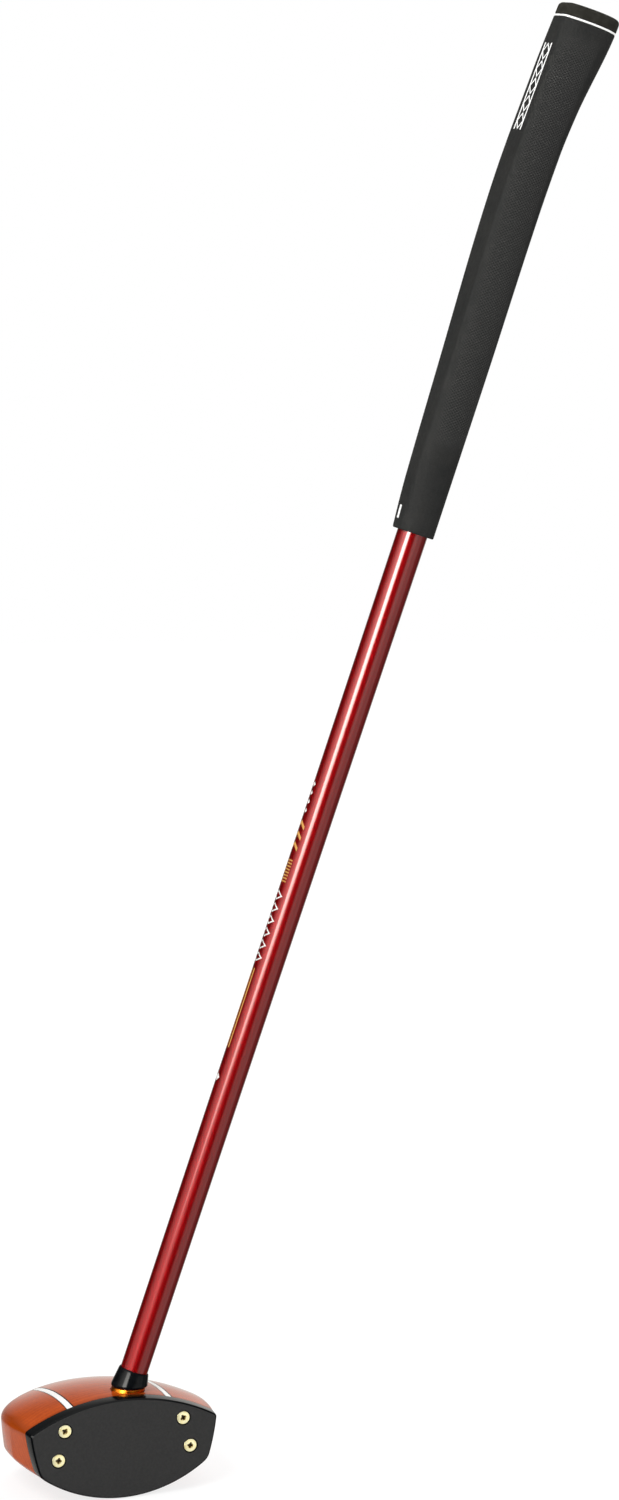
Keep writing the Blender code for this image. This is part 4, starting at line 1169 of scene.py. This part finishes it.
def printedMarks(tree, across, along):
    # Gold and white shares of the lines printed on the thumb side, in rising order: a lozenge,
    # two bars, open diamonds, fine rungs, chevrons and small lozenges.
    apart = awayFrom(tree, across)
    soft, crisp = 0.1 * mm, 0.08 * mm  # of the printed edges

    def stretch(name):
        return between(tree, along, shaftForm[name], soft)

    def slanted(value, slope):
        return addNode(tree, "Math", {0: apart, 1: slope, 2: value},
                       operation="MULTIPLY_ADD").outputs[0]

    bars = within(tree, apart, 1.2 * mm, 0.45 * mm, soft)
    rungs = within(tree, fromMiddle(tree, along, 1.7 * mm), 0.0, 0.35 * mm, crisp)
    rungs = product(tree, rungs, within(tree, apart, 0.0, 3.2 * mm, soft))
    chevrons = within(tree, fromMiddle(tree, slanted(along, 0.8), 6.0 * mm), 0.0, 1.0 * mm, soft)
    chevrons = product(tree, chevrons, within(tree, apart, 0.0, 3.6 * mm, soft))
    diamonds = slanted(fromMiddle(tree, along, 7.0 * mm), 0.65)
    diamonds = within(tree, diamonds, 2.3 * mm, 0.42 * mm, crisp)
    dots = within(tree, slanted(fromMiddle(tree, along, 5.0 * mm), 1.0), 0.0, 1.3 * mm, soft)
    lone = slanted(awayFrom(tree, along, shaftForm["markLone"]), 1.0)
    lone = within(tree, lone, 0.0, 2.0 * mm, soft)
    gold = largest(tree, product(tree, bars, stretch("markBars")),
                   product(tree, rungs, stretch("markRungs")),
                   product(tree, chevrons, stretch("markChevrons")))
    white = largest(tree, product(tree, diamonds, stretch("markDiamonds")),
                    product(tree, dots, stretch("markDots")), lone)
    return gold, white


def metallicLacquer():
    # Carbon tube sprayed with red candy lacquer over fine flake, clear coated: a dark saturated
    # red that blooms near the light, under a hard mirror. Gold and white printed lines.
    material, tree = newMaterial("redCandyLacquer", {
        "IOR": 1.5, "Specular IOR Level": 0.0, "Specular Tint": hexColour("7A1C20"),
        "Coat Weight": 1.0, "Coat Roughness": 0.03, "Coat IOR": 1.5})
    flake = wander(tree, 0.5 * mm, detail=1.0)
    gold, white = printedMarks(tree, *surfaceUv(tree))
    colour = layered(tree, "88070B", (flake, "920A0E"), (gold, "D9A35A"), (white, "F4F2EE"))
    metal = addNode(tree, "MapRange", {"Value": largest(tree, gold, white), "To Min": 0.85,
                                       "To Max": 0.1}).outputs[0]
    rough = addNode(tree, "MapRange", {"Value": flake, "To Min": 0.6, "To Max": 0.62}).outputs[0]
    return finished(material, {"Base Color": colour, "Metallic": metal, "Roughness": rough})


def addShaft():
    # a tube that tapers evenly to the grip's mouth and runs straight on to the cap
    form, wall = shaftForm, club["shaftWall"]
    tip, butt = club["tipRadius"], club["buttRadius"]
    top = capBottom - club["gap"]
    section = rounded([(tip, form["tip"]), (butt, gripMouth), (butt, top), (butt - wall, top),
                       (butt - wall, gripMouth), (tip - wall, form["tip"])],
                      form["edgeRound"], closed=True)
    # the seam of the UV map is on the palm side
    around = np.linspace(-math.pi, math.pi, form["columns"] + 1) * tip
    shaft = surfacePiece("lacquered_shaft", onShaft(turned(section, form["columns"])),
                         metallicLacquer(), loopRows=True, acrossUv=around,
                         alongUv=section[:, 1:])
    dress(shaft, "shaft")


# Grip

gripForm = {
    # pairs of share of the grip's length from its mouth, and rubber thickness past the shaft
    "thumbWall": ((0.0, 2.6 * mm), (0.05, 3.4 * mm), (0.3, 5.8 * mm), (0.66, 8.7 * mm),
                  (0.87, 7.0 * mm), (1.0, 5.7 * mm)),
    "palmWall": ((0.0, 3.3 * mm), (0.3, 3.0 * mm), (0.62, 2.2 * mm), (0.73, 2.7 * mm),
                 (0.81, 4.4 * mm), (0.97, 11.0 * mm), (1.0, 11.5 * mm)),
    "sideWall": ((0.0, 2.9 * mm), (0.5, 4.2 * mm), (1.0, 5.2 * mm)),
    "thumbFlat": ((0.0, 0.35), (0.1, 0.55), (0.66, 0.72), (0.87, 0.68), (1.0, 0.5)),
    "widestFlat": 0.95,
    "ridgeSoftness": 1.0 * mm,
    "lipLength": 6.0 * mm,
    "lipRound": 0.8 * mm,
    "columns": 192,
    "stations": 300,
    "lipRows": 7,
    "ringRound": 0.25 * mm,
    "ringRows": 5,
    "capRound": 2.6 * mm,
    "capRows": 12,
    "capRings": (0.9, 0.7, 0.45),  # of the width of the cap's flat top
    "ventRadius": 1.5 * mm,
    "spigotLength": 12.0 * mm,
    "motifPlace": (769.0 * mm, 818.0 * mm),
    "motifHalfWidth": 4.2 * mm,
    "motifPitch": 9.8 * mm,
    "motifStroke": 0.62 * mm,  # half a line's width
    "motifSlope": 1.1,
    "tickPlace": (552.4 * mm, 559.6 * mm),
    "tickHalfWidth": 1.2 * mm,
    "gritDepth": 0.05 * mm,
    "knurlDepth": 0.22 * mm,
    "knurlPitch": 3.4 * mm,
    "knurlSlope": 0.8,
    "knurlPlace": (600.0 * mm, 822.0 * mm),
    "knurlMiddle": 22.0 * mm,  # across, from the middle of the thumb flat
    "knurlHalfWidth": 10.0 * mm,
}


def gripOutline(place, inset=0.0):
    # Rows of the grip at places up the shaft: an ellipse cut by the thumb flat through a soft
    # minimum, (u + t - hypot(u - t, s)) / 2. Columns start and end on the palm side.
    form, butt = gripForm, club["buttRadius"]
    place = np.atleast_1d(np.asarray(place, float))
    share = (place - gripMouth) / club["gripLength"]
    thumb = butt + smoothCurve(form["thumbWall"], share)
    palm = butt + smoothCurve(form["palmWall"], share)
    side = butt + smoothCurve(form["sideWall"], share)
    flat = np.minimum(smoothCurve(form["thumbFlat"], share), form["widestFlat"])
    reach = np.sqrt(1.0 - flat ** 2)
    centre = (thumb - reach * palm) / (1.0 + reach)
    a = np.linspace(-math.pi, math.pi, form["columns"], endpoint=False)
    up = centre[:, None] + (centre + palm)[:, None] * np.cos(a)
    limit = thumb[:, None]
    up = (up + limit - np.hypot(up - limit, form["ridgeSoftness"])) / 2.0
    plan = np.stack([-up, side[:, None] * np.sin(a)], axis=-1)
    size = np.linalg.norm(plan, axis=-1, keepdims=True)
    plan = plan * (1.0 - np.asarray(inset, float).reshape(-1, 1, 1) / size)
    return raised(plan, place[:, None])


def circleRows(radius, place):
    # circles whose columns match the grip's
    a = np.linspace(-math.pi, math.pi, gripForm["columns"], endpoint=False)
    circle = np.stack([-np.cos(a), np.sin(a)], axis=1)
    return np.array([raised(circle * r, z) for r, z in zip(radius, place)])


def quarterRound(radius, rows):
    # distances along and inwards on a quarter circle: r (1 - cos a) and r (1 - sin a)
    a = np.linspace(0.0, math.pi / 2.0, rows)
    return radius * (1 - np.cos(a)), radius * (1 - np.sin(a))


def mouldedRubber():
    # Black rubber compression moulded in a fine-grained tool: matt, a little dusty on the high
    # grain, pitted where the fingers close, with a white infill on the thumb flat.
    form = gripForm
    material, tree = newMaterial("mouldedBlackRubber", {"IOR": 1.52, "Specular IOR Level": 0.15})
    across, along = surfaceUv(tree)
    apart = awayFrom(tree, across)
    clouds = wander(tree, 12.0 * mm, detail=3.0)
    grit = wander(tree, 0.8 * mm, detail=3.0)  # drawn coarse enough to show

    # rows of small pits, painted darker as shade, a product of two slanted sine waves
    waves = []
    for slope in (form["knurlSlope"], -form["knurlSlope"]):
        slanted = addNode(tree, "Math", {0: across, 1: slope, 2: along},
                          operation="MULTIPLY_ADD").outputs[0]
        turns = product(tree, slanted, math.tau / form["knurlPitch"])
        wave = addNode(tree, "Math", {0: turns}, operation="SINE").outputs[0]
        waves.append(addNode(tree, "Math", {0: wave}, operation="ABSOLUTE").outputs[0])
    where = product(tree, between(tree, along, form["knurlPlace"], 6.0 * mm),
                    within(tree, apart, form["knurlMiddle"], form["knurlHalfWidth"], 2.0 * mm))
    knurl = product(tree, *waves, where)

    # two thin lines with open diamonds between them, and a tick near the mouth
    stroke, pitch = form["motifStroke"], form["motifPitch"]
    lines = within(tree, apart, form["motifHalfWidth"], stroke, 0.08 * mm)
    counted = addNode(tree, "Math", {0: along, 1: form["motifPlace"][0]},
                      operation="SUBTRACT").outputs[0]
    spread = addNode(tree, "Math", {0: apart, 1: form["motifSlope"],
                                    2: fromMiddle(tree, counted, pitch)},
                     operation="MULTIPLY_ADD").outputs[0]
    diamonds = within(tree, spread, pitch / 2.0 - stroke, stroke, 0.08 * mm)
    motif = product(tree, largest(tree, lines, diamonds),
                    between(tree, along, form["motifPlace"], 0.1 * mm))
    tick = product(tree, between(tree, along, form["tickPlace"], 0.2 * mm),
                   within(tree, apart, 0.0, form["tickHalfWidth"], 0.2 * mm))
    # the knurl's pits are painted darker as shade
    colour = layered(tree, "1D1E1E", (clouds, "252524"), (product(tree, grit, 0.3), "333332"),
                     (where, "363635"), (product(tree, knurl, 0.9), "151616"),
                     (largest(tree, motif, tick), "F6F6F4"))
    height = addNode(tree, "Math", {0: knurl, 1: -form["knurlDepth"] / form["gritDepth"], 2: grit},
                     operation="MULTIPLY_ADD").outputs[0]
    moulded = addNode(tree, "Bump", {"Height": height, "Distance": form["gritDepth"]}).outputs[0]
    return finished(material, {"Base Color": colour, "Normal": moulded,
                               "Roughness": wander(tree, 3.0 * mm, 0.62, 0.74)})


def capRubber():
    # The cap is harder, browner rubber with the same dull moulded skin.
    material, tree = newMaterial("hardCapRubber", {
        "IOR": 1.52, "Roughness": 0.75, "Specular IOR Level": 0.06})
    colour = layered(tree, "252420", (wander(tree, 5.0 * mm, detail=3.0), "2F2E2A"))
    grit = wander(tree, 0.7 * mm, detail=3.0)
    moulded = addNode(tree, "Bump", {"Height": grit, "Distance": 0.04 * mm}).outputs[0]
    return finished(material, {"Base Color": colour, "Normal": moulded})


def whiteRingPlastic():
    # White nylon washer, tumbled: satin and clean.
    material, tree = newMaterial("whiteNylonRing", {"Roughness": 0.4})
    colour = layered(tree, "EEEEEC", (wander(tree, 2.0 * mm), "F7F7F5"))
    return finished(material, {"Base Color": colour})


def addGrip():
    # the sleeve with its rounded mouth, the white ring above it, and the cap with its vent and
    # the spigot that plugs the shaft
    form, gap = gripForm, club["gap"]
    along, inwards = quarterRound(form["lipRound"], form["lipRows"])
    mouth = gripOutline(gripMouth + along, inwards)
    body = gripOutline(np.linspace(gripMouth + form["lipRound"], gripTop, form["stations"]))
    lipTop = gripMouth + form["lipLength"]
    lipBore = club["buttRadius"] + gap
    bore = circleRows((gripBore, gripBore, lipBore, lipBore),
                      (gripTop, lipTop + gap, lipTop, gripMouth))
    grid = np.concatenate([mouth, body, bore])
    grip = surfacePiece("moulded_grip", onShaft(grid), mouldedRubber(), loopRows=True,
                        acrossUv=arcUv(grid), alongUv=grid[:, :1, 2])
    dress(grip, "grip")

    high = ringBottom + club["whiteRing"]
    along, inwards = quarterRound(form["ringRound"], form["ringRows"])
    ring = np.concatenate([
        gripOutline(ringBottom + along, inwards), gripOutline(high - inwards, along),
        circleRows((gripBore, gripBore), (high, ringBottom))])
    ring = surfacePiece("white_ring", onShaft(ring), whiteRingPlastic(), loopRows=True)
    dress(ring, "grip_ring")

    along, inwards = quarterRound(form["capRound"], form["capRows"])
    shell = gripOutline(club["length"] - inwards, along)
    vent = form["ventRadius"]
    spigot = club["buttRadius"] - club["shaftWall"] - gap
    end = capBottom - form["spigotLength"]
    top = [shell[-1:] * (s, s, 1.0) for s in form["capRings"]]
    core = circleRows((vent, vent, spigot, spigot), (club["length"], end, end, capBottom))
    cap = np.concatenate([gripOutline(capBottom), shell, *top, core])
    cap = surfacePiece("butt_cap", onShaft(cap), capRubber(), loopRows=True)
    dress(cap, "grip_cap")


addNeck()
addShaft()
addGrip()
print("neck, shaft and grip built")


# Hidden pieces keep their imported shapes

def cutCork():
    # agglomerated cork: warm brown granules about a millimetre across
    material, tree = newMaterial("cutCork", {"Roughness": 0.9})
    cells = addNode(tree, "TexVoronoi", {"Vector": objectPlace(tree), "Scale": 1.0 / (1.2 * mm)})
    colour = layered(tree, "8A6238", (cells.outputs["Distance"], "C79A66"))
    return finished(material, {"Base Color": colour})


def gripTape():
    # creped paper tape: fine ridges across a tan sheet
    material, tree = newMaterial("crepedPaperTape", {"Roughness": 0.85})
    crepe = wander(tree, 0.5 * mm, place=objectPlace(tree, (1.0, 0.2, 1.0)))
    colour = layered(tree, "CDBB8E", (crepe, "DACBA2"))
    creped = addNode(tree, "Bump", {"Height": crepe, "Distance": 0.05 * mm}).outputs[0]
    return finished(material, {"Base Color": colour, "Normal": creped})


sawnBrass = polishedBrass("sawnBrassWeight", ("CFAE5E", "E8D08E"), 0.4, 1.0)
for node, finish in (("balance_weight", sawnBrass), ("shaft_tip_plug", cutCork()),
                     ("grip_tape", gripTape())):
    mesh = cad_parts[node].data
    mesh.materials.clear()
    mesh.materials.append(finish)
print("hidden pieces finished")
